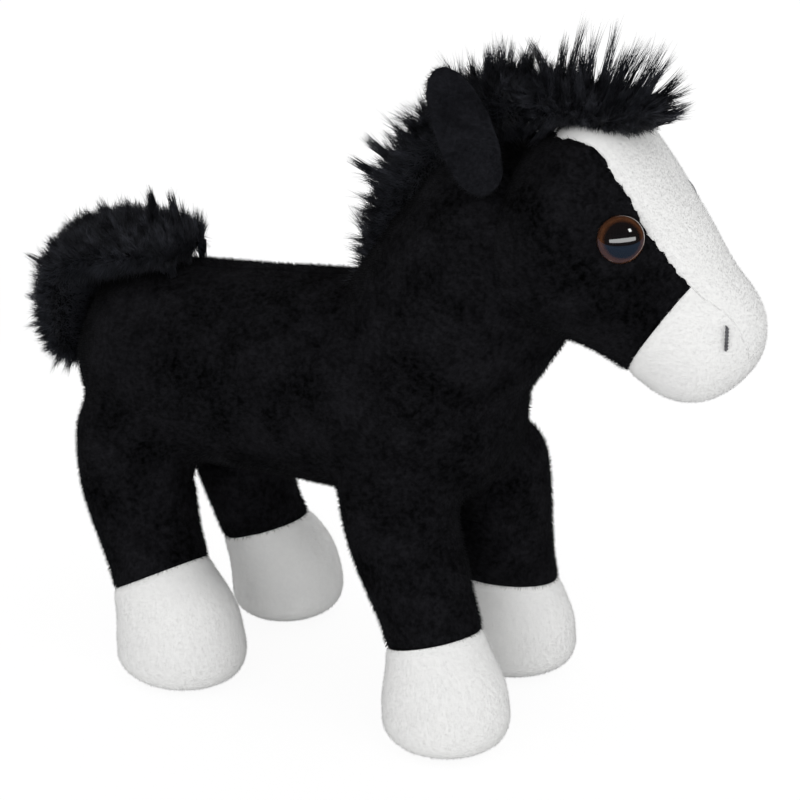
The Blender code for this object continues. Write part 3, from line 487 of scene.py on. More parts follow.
def add_node(tree, kind, **settings):
    """A node with its settings, and its unlinked inputs given by name in inputs."""
    node = tree.nodes.new(kind)
    inputs = settings.pop("inputs", {})
    for key, value in settings.items():
        setattr(node, key, value)
    for key, value in inputs.items():
        node.inputs[key].default_value = value
    return node


def feed(tree, socket, value):
    """Gives an input its value, which is another node's output or a plain number or colour."""
    if isinstance(value, bpy.types.NodeSocket):
        tree.links.new(value, socket)
    else:
        socket.default_value = value


def mix_colour(tree, factor, low, high, blend="MIX"):
    """Mixes two colours by a factor."""
    node = add_node(tree, "ShaderNodeMix", data_type="RGBA", blend_type=blend)
    for place, value in ((0, factor), (6, low), (7, high)):
        feed(tree, node.inputs[place], value)
    return node.outputs[2]


def remap(tree, value, low, high, to_low=0.0, to_high=1.0):
    """Stretches a value's range from low..high to to_low..to_high."""
    node = add_node(tree, "ShaderNodeMapRange")
    for place, number in enumerate((value, low, high, to_low, to_high)):
        feed(tree, node.inputs[place], number)
    return node.outputs["Result"]


def calculate(tree, operation, *values, clamp=False):
    """One step of arithmetic."""
    node = add_node(tree, "ShaderNodeMath", operation=operation, use_clamp=clamp)
    for socket, value in zip(node.inputs, values):
        feed(tree, socket, value)
    return node.outputs[0]


def times_grey(tree, colour, factor):
    """A colour times a number that changes over the surface."""
    grey = add_node(tree, "ShaderNodeCombineColor")
    for socket in ("Red", "Green", "Blue"):
        feed(tree, grey.inputs[socket], factor)
    return mix_colour(tree, 1.0, colour, grey.outputs["Color"], "MULTIPLY")


def surface_noise(tree, **inputs):
    """A cloudy pattern that stays where it is on the piece."""
    noise = add_node(tree, "ShaderNodeTexNoise")
    feed(tree, noise.inputs["Vector"], tree.nodes.new("ShaderNodeTexCoord").outputs["Object"])
    for key, value in inputs.items():
        feed(tree, noise.inputs[key], value)
    return noise.outputs["Fac"]


print("node helpers ready")

# %% [markdown]
# ### The pile's mottling
#
# The group takes the two colours and the two sizes of the pattern, and puts out a colour and a
# height. Broad patches count for a little more than the tufts do.

# %% Node group of the pile
# Broad patches are painted sheen: where the nap leans one way it catches more light than the next.
PATCH_RANGE, TUFT_RANGE = (0.35, 0.68), (0.35, 0.65)
PATCH_PART, TUFT_PART = 0.55, 0.45


def pile_group():
    """Pile mottling: a dark and a light colour mixed by broad patches, a painted sheen where the
    nap catches more light, and by fine tufts.

    The height of a Bump node comes out too: tufts stand up, gaps between them lie low.
    """
    tree = bpy.data.node_groups.new("pile_mottling", "ShaderNodeTree")
    face = tree.interface
    for name, kind in (("Dark", "NodeSocketColor"), ("Light", "NodeSocketColor")):
        face.new_socket(name, in_out="INPUT", socket_type=kind)
    for name, value in (("Patch Scale", 60.0), ("Tuft Scale", 900.0), ("Contrast", 1.0)):
        face.new_socket(name, in_out="INPUT", socket_type="NodeSocketFloat").default_value = value
    face.new_socket("Color", in_out="OUTPUT", socket_type="NodeSocketColor")
    face.new_socket("Height", in_out="OUTPUT", socket_type="NodeSocketFloat")
    given, out = tree.nodes.new("NodeGroupInput"), tree.nodes.new("NodeGroupOutput")
    noises = [surface_noise(tree, Scale=given.outputs[scale], Detail=detail, Roughness=0.6)
              for scale, detail in (("Patch Scale", 3.0), ("Tuft Scale", 2.0))]
    patches, tufts = remap(tree, noises[0], *PATCH_RANGE), remap(tree, noises[1], *TUFT_RANGE)
    both = calculate(tree, "MULTIPLY_ADD", tufts, TUFT_PART,
                     calculate(tree, "MULTIPLY", patches, PATCH_PART))
    strength = calculate(tree, "MULTIPLY", both, given.outputs["Contrast"], clamp=True)
    colour = mix_colour(tree, strength, given.outputs["Dark"], given.outputs["Light"])
    feed(tree, out.inputs["Color"], colour)
    feed(tree, out.inputs["Height"], tufts)
    return tree


PILE = pile_group()
print("node group:", PILE.name)

# %% [markdown]
# ### The fabrics
#
# Every fabric has two materials: one for the woven ground, with a slight bump, and one for its
# fibres, which are real geometry and need none. Black plush still needs a little colour range,
# or it would look like a hole in the picture. White plush needs less than one, or it would glow.

# %% Fabric materials
BUMP_HEIGHT = 0.4 * MM


def fabric(name, dark, light, patch=60.0, tuft=900.0, bump=0.25, tone=None, **looks):
    """A pile fabric. Tone is how bright a fibre with shade 0 and one with shade 1 are."""
    made, tree, shader = new_material(name, **looks)
    group = add_node(tree, "ShaderNodeGroup", node_tree=PILE, inputs={
        "Dark": (*dark, 1), "Light": (*light, 1), "Patch Scale": patch, "Tuft Scale": tuft})
    colour = group.outputs["Color"]
    if tone is not None:
        shade = add_node(tree, "ShaderNodeAttribute", attribute_name="shade")
        colour = times_grey(tree, colour, remap(tree, shade.outputs["Fac"], 0.0, 1.0, *tone))
    feed(tree, shader.inputs["Base Color"], colour)
    if bump:
        node = add_node(tree, "ShaderNodeBump", inputs={"Strength": bump, "Distance": BUMP_HEIGHT})
        feed(tree, node.inputs["Height"], group.outputs["Height"])
        feed(tree, shader.inputs["Normal"], node.outputs["Normal"])
    return made


BLACK_LOOK = {"roughness": 0.95, "specular": 0.05, "sheen": 0.008, "sheen_roughness": 0.5}
WHITE_LOOK = {"roughness": 0.95, "specular": 0.10, "sheen": 0.05, "sheen_roughness": 0.5}
LONG_LOOK = {"roughness": 0.45, "specular": 0.30, "sheen": 0.01, "sheen_roughness": 0.4}
BLACK_DARK, BLACK_LIGHT = (0.0003, 0.0003, 0.0004), (0.0110, 0.0110, 0.0130)
WHITE_DARK, WHITE_LIGHT = (0.78, 0.78, 0.775), (0.83, 0.83, 0.82)
EAR_DARK, EAR_LIGHT = (0.0045, 0.0047, 0.0060), (0.015, 0.0155, 0.019)
LONG_DARK, LONG_LIGHT = (0.0010, 0.0010, 0.0014), (0.040, 0.042, 0.052)
black_kind = {"patch": 75, "tuft": 700, **BLACK_LOOK}
ear_kind = {"patch": 110, **BLACK_LOOK}
black_base = fabric("black_plush_base", BLACK_DARK, BLACK_LIGHT, **black_kind)
black_pile = fabric("black_plush_pile", BLACK_DARK, BLACK_LIGHT, bump=0, tone=(0.4, 1.6),
                    **black_kind)
white_base = fabric("white_plush_base", WHITE_DARK, WHITE_LIGHT, bump=0.03, **WHITE_LOOK)
white_pile = fabric("white_plush_pile", WHITE_DARK, WHITE_LIGHT, bump=0, tone=(0.99, 1.0),
                    **WHITE_LOOK)
ear_base = fabric("ear_plush_base", EAR_DARK, EAR_LIGHT, **ear_kind)
ear_pile = fabric("ear_plush_pile", EAR_DARK, EAR_LIGHT, bump=0, tone=(0.6, 1.5), **ear_kind)
long_base = fabric("long_pile_base", LONG_DARK, LONG_DARK, patch=90, **BLACK_LOOK)
# The strands' light colour, brightened up to 2.2 times at the tips by the shade attribute, is a
# painted bluish highlight on the locks, besides their random tone.
long_pile = fabric("long_pile_strands", LONG_DARK, LONG_LIGHT, patch=140, bump=0, tone=(0.3, 2.2),
                   **LONG_LOOK)
print("materials so far:", len(bpy.data.materials))

# %% [markdown]
# ## The stuffed body
#
# On the real toy one side panel runs over the torso, up the neck and down two legs, so the
# filling swells through all of them without a break. The segments are therefore joined and
# made into one skin, which is smoothed, and pressed outwards as the filling does.

# %% Helpers for the skin
SMOOTHING, SMOOTHING_ROUNDS = 0.5, 6


def joined(name, parts):
    """One object from several, which are used up."""
    mesh = bmesh.new()
    for part in parts:
        mesh.from_mesh(part.data)
    made = bpy.data.objects.new(name, bpy.data.meshes.new(name))
    mesh.to_mesh(made.data)
    mesh.free()
    bpy.context.collection.objects.link(made)
    for part in parts:
        bpy.data.objects.remove(part)
    return made


def smooth_out(made):
    """Evens a surface out: each point moves half of the way to the mean of its neighbours."""
    smooth = made.modifiers.new("Smooth", "SMOOTH")
    smooth.factor, smooth.iterations = SMOOTHING, SMOOTHING_ROUNDS
    apply_modifiers(made)


print("skin helpers ready")

# %% [markdown]
# ### The filling's pressure
#
# Pressure could be drawn by hand as a bulge, but a cloth simulation finds by itself where the
# skin gives way: it rounds the hollows off and pulls soft creases between neck, chest and legs.
# It runs for a few frames only, and no point may move further than a cap, so that the toy
# keeps its measures.

# %% Filling
CLOTH_QUALITY, PRESSURE, PRESSURE_FRAMES = 6, 4.0, 20
MOST_SWELLING = 1.2 * MM


def inflate(made):
    """Cloth with pressure and no gravity; a longer move is cut down to the cap."""
    before = coordinates(made.data)
    cloth = made.modifiers.new("Filling", "CLOTH")
    cloth.settings.quality = CLOTH_QUALITY
    cloth.settings.use_pressure = True
    cloth.settings.uniform_pressure_force = PRESSURE
    cloth.settings.effector_weights.gravity = 0.0
    cloth.point_cache.frame_start, cloth.point_cache.frame_end = 1, PRESSURE_FRAMES
    for step in range(1, PRESSURE_FRAMES + 1):
        bpy.context.scene.frame_set(step)
    graph = bpy.context.evaluated_depsgraph_get()
    after = coordinates(made.evaluated_get(graph).to_mesh())
    made.evaluated_get(graph).to_mesh_clear()
    made.modifiers.remove(cloth)
    bpy.context.scene.frame_set(1)
    move = after - before
    size = np.linalg.norm(move, axis=1, keepdims=True)
    share = np.minimum(1.0, MOST_SWELLING / np.maximum(size, TINY))
    set_coordinates(made.data, before + move * share)
    print("filling moved the skin by up to", round(float(size.max()) / MM, 2), "mm")


print("the filling presses for", PRESSURE_FRAMES, "frames")

# %% [markdown]
# ### One skin
#
# The segments reach into each other, so joining them alone would leave walls inside. A voxel
# remesh keeps only the outer skin and closes it. The legs end above their soles here, because
# the white feet are made from a finer grid later.

# %% One skin over torso, neck and legs
# The depth is how far the woven ground lies below the tips of the pile.
SKIN_DEPTH, VOXEL, LEG_END = 0.9 * MM, 2.4 * MM, 0.80

parts = [closed_segment(f"{name}_part", segment, SKIN_DEPTH)
         for name, segment in (("torso", torso), ("neck", neck))]
parts += [closed_segment(f"{name}_part", leg, SKIN_DEPTH, end=LEG_END)
          for name, leg in legs.items()]
skin = joined("skin", parts)
remesh = skin.modifiers.new("Remesh", "REMESH")
remesh.mode, remesh.voxel_size = "VOXEL", VOXEL
smooth_out(skin)
inflate(skin)
subdivide = skin.modifiers.new("Subdivision", "SUBSURF")
subdivide.levels = subdivide.render_levels = 1
apply_modifiers(skin)
print("skin points:", len(skin.data.vertices))

# %% [markdown]
# ## Cutting the panels
#
# A seam is where some value is zero: the distance from the middle plane, the distance beyond
# the top of the white foot, or the distance outside the belly's leaf. Each edge that crosses
# zero gets a point there, and the points are joined across the faces, so a cut follows its
# line exactly, whatever the mesh under it looks like.

# %% Cut a mesh where a value is zero
ON_THE_SEAM = 1e-5


def cut_along(mesh, value_of):
    """Puts edges into a bmesh where value_of(points) is zero: low / (low - high) of each edge."""
    mesh.verts.ensure_lookup_table()
    values = value_of(np.array([v.co for v in mesh.verts]))
    values = np.where(np.abs(values) < ON_THE_SEAM, ON_THE_SEAM, values)
    mesh.verts.index_update()
    crossing = [e for e in mesh.edges if values[e.verts[0].index] * values[e.verts[1].index] < 0]
    fresh = []
    for edge in crossing:
        low, high = values[edge.verts[0].index], values[edge.verts[1].index]
        fresh.append(bmesh.utils.edge_split(edge, edge.verts[0], low / (low - high))[1])
    bmesh.ops.connect_verts(mesh, verts=fresh)


def panel_object(name, mesh, keep):
    """A copy of the bmesh with only the faces whose index is kept."""
    copy = mesh.copy()
    copy.faces.ensure_lookup_table()
    doomed = [face for face, stays in zip(copy.faces, keep) if not stays]
    bmesh.ops.delete(copy, geom=doomed, context="FACES")
    made = bpy.data.objects.new(name, bpy.data.meshes.new(name))
    copy.to_mesh(made.data)
    copy.free()
    made.data.shade_smooth()
    bpy.context.collection.objects.link(made)
    return made


def face_centres(mesh):
    """The middle of every face of a bmesh."""
    return np.array([face.calc_center_median() for face in mesh.faces])


print("scissors ready")

# %% [markdown]
# ### The body's seams
#
# The belly's leaf is pointed at both ends and lies between the legs. The tops of the white feet
# are planes through the legs, a little aslant, because a stuffed leg twists when it is sewn on.

# %% Panels of the body
GUSSET_HALF_WIDTH, BEYOND_GUSSET = 0.0130, -0.2
GUSSET_ALONG, GUSSET_WIDE = (0.06, 0.20, 0.40, 0.60, 0.80, 0.95), (0.05, 0.70, 1.0, 1.0, 0.70, 0.05)
BELLY_CEILING, BELLY_FLOOR = 0.066, 0.050
SOCK_REACH, SOCK_CEILING, OFF_THE_SOCK = 0.030, 0.050, -0.010


def middle_value(points):
    """Negative on the horse's right side."""
    return points[:, 1] - SHIFT[1]


def belly_value(points):
    """Positive inside the belly's leaf, on the underside of the torso."""
    along = (points[:, 0] - SHIFT[0] - TORSO_REAR) / TORSO_LENGTH
    wide = np.interp(along, GUSSET_ALONG, GUSSET_WIDE, BEYOND_GUSSET, BEYOND_GUSSET)
    inside = wide * GUSSET_HALF_WIDTH - np.abs(middle_value(points))
    return np.minimum(inside, np.minimum(BELLY_CEILING - points[:, 2], points[:, 2] - BELLY_FLOOR))


def sock_value(points, name):
    """Positive below the top of a white foot, near that leg only."""
    values, axis = legs[name].line(SOCK_SHARE)
    slope = axis[0] / -axis[0, 2] + np.array([*SOCK_TILTS[name], 0.0])
    away = points - values[0, :3]
    below = away @ unit(slope)
    reach = np.linalg.norm(away[:, :2], axis=1)
    return np.where((reach < SOCK_REACH) & (points[:, 2] < SOCK_CEILING), below, OFF_THE_SOCK)


def sewing_pattern(made, *seams):
    """A bmesh of an object, which is used up, cut along seams, and its faces' centres."""
    mesh = bmesh.new()
    mesh.from_mesh(made.data)
    bpy.data.objects.remove(made)
    for seam in seams:
        cut_along(mesh, seam)
    return mesh, face_centres(mesh)


sock_seams = {name: partial(sock_value, name=name) for name in legs}
body_mesh, centres = sewing_pattern(skin, middle_value, belly_value, *sock_seams.values())
above = np.all([seam(centres) < 0 for seam in sock_seams.values()], axis=0)
belly = belly_value(centres) > 0
right = middle_value(centres) < 0
panels = {
    "side_panel_right": above & ~belly & right,
    "side_panel_left": above & ~belly & ~right,
    "belly_panel": above & belly,
}
panels = {name: panel_object(name, body_mesh, keep) for name, keep in panels.items()}
body_mesh.free()
print("panels:", {name: len(made.data.polygons) for name, made in panels.items()})

# %% [markdown]
# ## The head
#
# Two black cheeks, a white blaze from the brow over the nose, and two white muzzle sides are
# sewn together over the filling. The head's own formula is fine enough here: its grid is cut
# along the three seams, and each seam draws the fabric in a little.

# %% Head panels
MUZZLE_SEAM = 0.0273
BLAZE_HALF_WIDTH, BEYOND_BLAZE = 0.0160, -0.3
BLAZE_ALONG = (0.055, 0.09, 0.15, 0.20, 0.30, 0.38, 0.48, 0.55, 0.64, 0.71, 0.82, 0.92, 0.97)
BLAZE_WIDE = (0.45, 0.72, 0.90, 0.95, 1.03, 1.00, 1.02, 0.96, 0.88, 0.78, 0.64, 0.50, 0.30)
# a hand-sewn edge is never quite straight: height in mm, radians per mm, phase
BLAZE_WAVES = ((0.16, 1.7, 0.0), (0.09, 3.9, 1.0))


def head_axes(points):
    """How far points lie along the head from the skull's centre, to the side, and up."""
    away = points - (SKULL + SHIFT)
    side, up = away[:, 1], away @ HEAD_UP
    cosine, sine = math.cos(HEAD_ROLL), math.sin(HEAD_ROLL)
    return away @ HEAD_ALONG, side * cosine - up * sine, up * cosine + side * sine


def muzzle_value(points):
    """Positive ahead of the muzzle's seam."""
    return head_axes(points)[0] - MUZZLE_SEAM


def blaze_value(points):
    """Positive inside the blaze, on the upper side of the head."""
    along, side, up = head_axes(points)
    share = (along + SKULL_RADIUS) / HEAD_LENGTH
    half = BLAZE_HALF_WIDTH * np.interp(share, BLAZE_ALONG, BLAZE_WIDE, BEYOND_BLAZE, BEYOND_BLAZE)
    uneven = sum(height * MM * np.sin(along / MM * rate + phase)
                 for height, rate, phase in BLAZE_WAVES)
    return np.minimum(half - np.abs(side) + uneven * (along < MUZZLE_SEAM), up)


ball = closed_segment("head_part", head, SKIN_DEPTH, rows=110, columns=128)
head_mesh, centres = sewing_pattern(ball, middle_value, muzzle_value, blaze_value)
in_blaze, ahead = blaze_value(centres) > 0, muzzle_value(centres) > 0
right = middle_value(centres) < 0
for name, keep in (
    ("blaze_panel", in_blaze),
    ("cheek_panel_right", ~in_blaze & ~ahead & right),
    ("cheek_panel_left", ~in_blaze & ~ahead & ~right),
    ("muzzle_panel_right", ~in_blaze & ahead & right),
    ("muzzle_panel_left", ~in_blaze & ahead & ~right),
):
    panels[name] = panel_object(name, head_mesh, keep)
head_mesh.free()
print("panels with the head's:", len(panels))

# %% [markdown]
# ## The feet
#
# Each white foot is a tube that swells below its seam, closed by a flat sole. The foot and the
# sole are cut from the leg's own surface, which is finer than the body's skin, with a shallow
# groove where they are sewn together. The groove is a bell curve of the distance from the seam.

# %% Feet and soles
SEAM_DEPTH, SEAM_REACH = 0.55 * MM, 1.1 * MM
SOLE_GROOVE, SOLE_GROOVE_REACH = 0.25 * MM, 0.8 * MM
OFF_THE_FLOOR = 0.1 * MM


def groove(values, depth=SEAM_DEPTH, reach=SEAM_REACH):
    """How deep a seam draws the fabric in: depth * exp(-(distance / reach) squared)."""
    return depth * np.exp(-(values / reach) ** 2)


def sole_value(points):
    """Positive below the seam that joins the foot to its sole."""
    return SOLE_THICKNESS - points[:, 2]


for name, leg in legs.items():
    whole = closed_segment("foot_part", leg, SKIN_DEPTH, rows=130, columns=96)
    smooth_out(whole)
    foot_mesh, centres = sewing_pattern(whole, sock_seams[name], sole_value)
    below, flat = sock_value(centres, name) > 0, sole_value(centres) > 0
    for piece, keep in ((f"{name}_foot_panel", below & ~flat), (f"{name}_sole_panel", flat)):
        made = panels[piece] = panel_object(piece, foot_mesh, keep)
        points, normals = coordinates(made.data), normals_of(made.data)
        depth = groove(sock_value(points, name))
        depth += groove(sole_value(points), SOLE_GROOVE, SOLE_GROOVE_REACH)
        points -= normals * (depth * (points[:, 2] > OFF_THE_FLOOR))[:, None]
        points[:, 2] = np.maximum(points[:, 2], 0.0)
        set_coordinates(made.data, points)
    foot_mesh.free()
print("feet and soles:", 2 * len(legs))

# %% [markdown]
# ## Seams and folds
#
# A seam pulls the fabric in where two panels meet, with the same bell curve as on the feet. On
# the head it fades towards the nose, where the filling is packed hard. Broad, shallow dents
# make the rest look loosely packed.

# %% Draw the seams in
DENT_DEPTH, DENT_WAVE, DENTS, DENT_SEED = 0.35 * MM, 0.020, 4, 11
MIDDLE_SEAM_PART = 0.5
NOSE_FADE, NOSE_PART = 9 * MM, 0.25


def soft_dents(points):
    """The mean of four plane waves with seeded directions and phases."""
    vary = np.random.default_rng(DENT_SEED)
    ways = unit(vary.normal(size=(DENTS, 3)))
    phases = vary.uniform(0, TAU, DENTS)
    return DENT_DEPTH * np.sin(points @ ways.T * TAU / DENT_WAVE + phases).mean(axis=1)


for name, made in panels.items():
    if "foot" in name or "sole" in name:
        continue
    points, normals = coordinates(made.data), normals_of(made.data)
    if name.startswith(("side", "belly")):
        depth = groove(belly_value(points)) + MIDDLE_SEAM_PART * groove(middle_value(points))
        depth += sum(groove(seam(points)) for seam in sock_seams.values())
    else:
        fade = np.interp(muzzle_value(points), (0.0, NOSE_FADE), (1.0, NOSE_PART))
        across = groove(muzzle_value(points)) * (blaze_value(points) <= 0)
        depth = np.maximum(groove(blaze_value(points)) * fade, across * fade)
    depth += soft_dents(points)
    set_coordinates(made.data, points - normals * depth[:, None])
print("seams drawn in")

# %% [markdown]
# ## Short pile
#
# A plush fabric is a woven ground with a forest of short fibres. Here each tuft is a thin
# closed sliver with a root of three corners and one tip. The slivers are spread evenly over
# each panel and lean the way the nap was brushed: back along the body and down the legs.

# %% Places and directions of the fibres
MOST_SLIVERS = 49000
NAP_BACK, NAP_DOWN = np.array([-1.0, 0.0, -0.25]), np.array([-0.15, 0.0, -1.0])
LEG_TOP, NAP_TURN = 0.062, 0.012


def spread(made, per_mm2, vary):
    """Even, seeded places on a mesh: each triangle gets its share by its area."""
    mesh = made.data
    mesh.calc_loop_triangles()
    corners = np.empty(len(mesh.loop_triangles) * 3, np.int32)
    mesh.loop_triangles.foreach_get("vertices", corners)
    corners = corners.reshape(-1, 3)
    points, normals = coordinates(mesh), normals_of(mesh)
    a, b, c = (points[corners[:, k]] for k in range(3))
    area = np.linalg.norm(np.cross(b - a, c - a), axis=1) / 2
    count = min(int(area.sum() / MM ** 2 * per_mm2), MOST_SLIVERS)
    marks = (np.arange(count) + vary.random(count)) / count * area.sum()
    chosen = np.clip(np.searchsorted(np.cumsum(area), marks), 0, len(area) - 1)
    u, v = vary.random(count), vary.random(count)
    u, v = np.where(u + v > 1, 1 - u, u), np.where(u + v > 1, 1 - v, v)
    w = np.stack([1 - u - v, u, v], -1)[..., None]
    return (points[corners[chosen]] * w).sum(1), unit((normals[corners[chosen]] * w).sum(1))


def nap_way(points):
    """The way the nap lies: down on the legs, back and a little down on the body and head."""
    low = np.clip((LEG_TOP - points[:, 2]) / NAP_TURN, 0, 1)[:, None]
    return unit(NAP_BACK * (1 - low) + NAP_DOWN * low)


print("nap on the body and on the legs:", NAP_BACK, NAP_DOWN)

# %% [markdown]
# ### Slivers
#
# A fibre could be a hair curve, but a game engine or a printer can't read one, so every fibre
# is a small closed solid. All slivers of a panel are one mesh, worked out as whole arrays. Each
# has its own shade, painted darker at its root as shade between the fibres, and its own cell of
# the UV map, so that its colour can be baked.

# %% Slivers
SKEW = np.array([0.31, 0.52, 0.79])     # a direction that no fibre has
THIRDS = np.array([0, TAU / 3, 2 * TAU / 3])
ROOT_DEPTH, FLOOR_CLEARANCE = 0.25 * MM, 0.1 * MM
# The middle number is painted shade: how bright a fibre's root corners are, as a share of its tip.
OWN_LIGHT, ROOT_PAINTED_SHADE, CELL_PART = 0.3, 0.5, 0.35


def slivers(name, roots, normals, ways, lengths, widths, shades, finish):
    """Thin closed slivers: three corners round each root, and one tip.

    A corner is root - depth * way + ring * width / 2, the tip is root + way * length. The
    shading normals are mostly the fabric's own, so that the pile is lit as one surface.
    """
    count = len(roots)
    helper = unit(np.cross(ways, SKEW))
    other = np.cross(ways, helper)
    turn = THIRDS[None, :, None]
    ring = helper[:, None] * np.cos(turn) + other[:, None] * np.sin(turn)
    base = (roots - ways * ROOT_DEPTH)[:, None] + ring * widths[:, None, None] / 2
    tips = roots + ways * lengths[:, None]
    tips[:, 2] = np.maximum(tips[:, 2], FLOOR_CLEARANCE)
    tips = tips[:, None]
    points = np.concatenate([base, tips], axis=1).reshape(-1, 3)
    first = np.arange(count)[:, None, None] * 4
    pattern = np.array([[0, 1, 3], [1, 2, 3], [2, 0, 3], [2, 1, 0]])[None]
    made = mesh_object(name, points, (first + pattern).reshape(-1, 3))
    lit = unit(normals[:, None] + OWN_LIGHT * np.concatenate([ring, ways[:, None]], axis=1))
    made.data.normals_split_custom_set_from_vertices(lit.reshape(-1, 3))
    # Painted shade: the three root corners get half the fibre's shade, as if the fibres shaded each
    # other near the ground.
    set_values(made, "shade", np.stack([shades * ROOT_PAINTED_SHADE] * 3 + [shades], -1).ravel())
    cell_map(made, count, pattern.size)
    made.data.materials.append(finish)
    return made


def set_values(made, attribute, values):
    """Writes one number per point, which a material reads by the attribute's name."""
    layer = made.data.attributes.new(attribute, "FLOAT", "POINT")
    layer.data.foreach_set("value", np.asarray(values, np.float32))


def cell_map(made, count, corners):
    """A UV map in which each fibre has a cell of its own, for the fibre's loops in order."""
    side = math.ceil(math.sqrt(count))
    cell = np.arange(count)
    middle = np.stack([(cell % side + 0.5) / side, (cell // side + 0.5) / side], -1)
    angles = np.arange(corners) * TAU / corners
    around = CELL_PART / side * np.stack([np.cos(angles), np.sin(angles)], -1)
    layer = made.data.uv_layers.new(name="OFBake")
    layer.data.foreach_set("uv", (middle[:, None] + around[None]).astype(np.float32).ravel())


print("slivers can be grown")

# %% [markdown]
# ### The pile of every panel
#
# Black pile is longer and more open than white pile, which was shorn flat. A sliver points
# between the fabric's normal and the nap, and looseness turns it a little at random. None
# grows on the rim that stands on the floor.

# %% Pile
# fibres for each square millimetre, length, width, lean along the nap, looseness
BLACK_KIND = (2.7, 1.25 * MM, 0.18 * MM, 0.9, 0.30)
WHITE_KIND = (4.5, 0.70 * MM, 0.14 * MM, 0.9, 0.30)
RIM_HEIGHT, GROUND_THICKNESS = 0.6 * MM, 0.8 * MM
LENGTH_RANGE, WIDTH_RANGE = (0.7, 1.2), (0.7, 1.3)
MEAN_SHADE, SHADE_SPREAD, SHADE_LIMITS = 0.55, 0.18, (0.1, 1.0)


def add_pile(panel, finish, kind, seed, nap=nap_way, tone=None):
    """Pile on a panel: a sliver's direction is normal + lean * nap + looseness * chance."""
    per_mm2, length, width, lean, loose = kind
    vary = np.random.default_rng(seed)
    roots, normals = spread(panel, per_mm2, vary)
    roots, normals = roots[roots[:, 2] > RIM_HEIGHT], normals[roots[:, 2] > RIM_HEIGHT]
    way = nap(roots)
    way = unit(way - normals * (way * normals).sum(1, keepdims=True))
    ways = unit(normals + way * lean + vary.normal(size=roots.shape) * loose)
    lengths = length * vary.uniform(*LENGTH_RANGE, len(roots))
    widths = width * vary.uniform(*WIDTH_RANGE, len(roots))
    shades = np.clip(vary.normal(MEAN_SHADE, SHADE_SPREAD, len(roots)), *SHADE_LIMITS)
    if tone is not None:
        shades = shades * tone(roots)
    return slivers(f"{panel.name}_pile", roots, normals, ways, lengths, widths, shades, finish)


def thicken(panel):
    """Gives a panel the thickness of its woven ground, inwards."""
    solid = panel.modifiers.new("Solidify", "SOLIDIFY")
    solid.thickness, solid.offset = GROUND_THICKNESS, -1.0
    apply_modifiers(panel)


def hand_over(pieces, body, nodes):
    """Attaches pieces to one body, and hides the frame's nodes that they stand for."""
    for piece in pieces:
        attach(piece, body)
    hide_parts(*nodes)


# panel: nodes that it stands for
STANDS_FOR = {
    "side_panel_right": ["body_panel_right", "neck_panel_right", "torso_filling", "neck_filling",
                         "front_right_leg_skin", "hind_right_leg_skin",
                         "front_right_leg_filling", "hind_right_leg_filling"],
    "side_panel_left": ["body_panel_left", "neck_panel_left", "front_left_leg_skin",
                        "hind_left_leg_skin", "front_left_leg_filling", "hind_left_leg_filling"],
    "belly_panel": ["belly_gusset"],
    "blaze_panel": ["blaze", "head_filling"],
    "cheek_panel_right": ["cheek_right"],
    "cheek_panel_left": ["cheek_left"],
    "muzzle_panel_right": ["muzzle_right"],
    "muzzle_panel_left": ["muzzle_left"],
}
for name in legs:
    STANDS_FOR[f"{name}_foot_panel"] = [f"{name}_foot"]
    STANDS_FOR[f"{name}_sole_panel"] = [f"{name}_sole"]
PALE_WORDS, PANEL_FILL = ("blaze", "muzzle", "foot", "sole"), 0.85
fibres = 0
for seed, (name, panel) in enumerate(panels.items()):
    pale = any(word in name for word in PALE_WORDS)
    base, pile = (white_base, white_pile) if pale else (black_base, black_pile)
    tufts = add_pile(panel, pile, WHITE_KIND if pale else BLACK_KIND, seed)
    fibres += len(tufts.data.polygons) // 4
    thicken(panel)
    panel.data.materials.clear()
    panel.data.materials.append(base)
    hand_over((panel, tufts), BODY, STANDS_FOR[name])
print("short fibres:", fibres)

# %% [markdown]
# ## Long pile
#
# The mane, the forelock and the tail are long-pile fabric. Long fibres cling together in
# locks: they start apart on the fabric and meet at a shared tip. A lock is therefore a bundle
# of strands whose distance from the lock's own line shrinks along the way.

# %% Strands
STRAND_STEPS = 5
BEND_WAY = np.array([0.2, 0.9, 0.37])
OWN_BEND, STRAY_POWER, GATHER_POWER = 0.55, 1.5, 0.8
LOCK_SHADES, STRAND_SHADE_SPREAD = (0.15, 0.85), 0.12
# Painted light along a strand: dark at the root, painted shade inside the lock, and lighter to the
# tip, a painted highlight.
PAINTED_SHADE_AT_ROOT, PAINTED_LIGHT_TO_TIP, STRAND_SHADE_LIMITS = 0.2, 0.9, (0.02, 1.0)


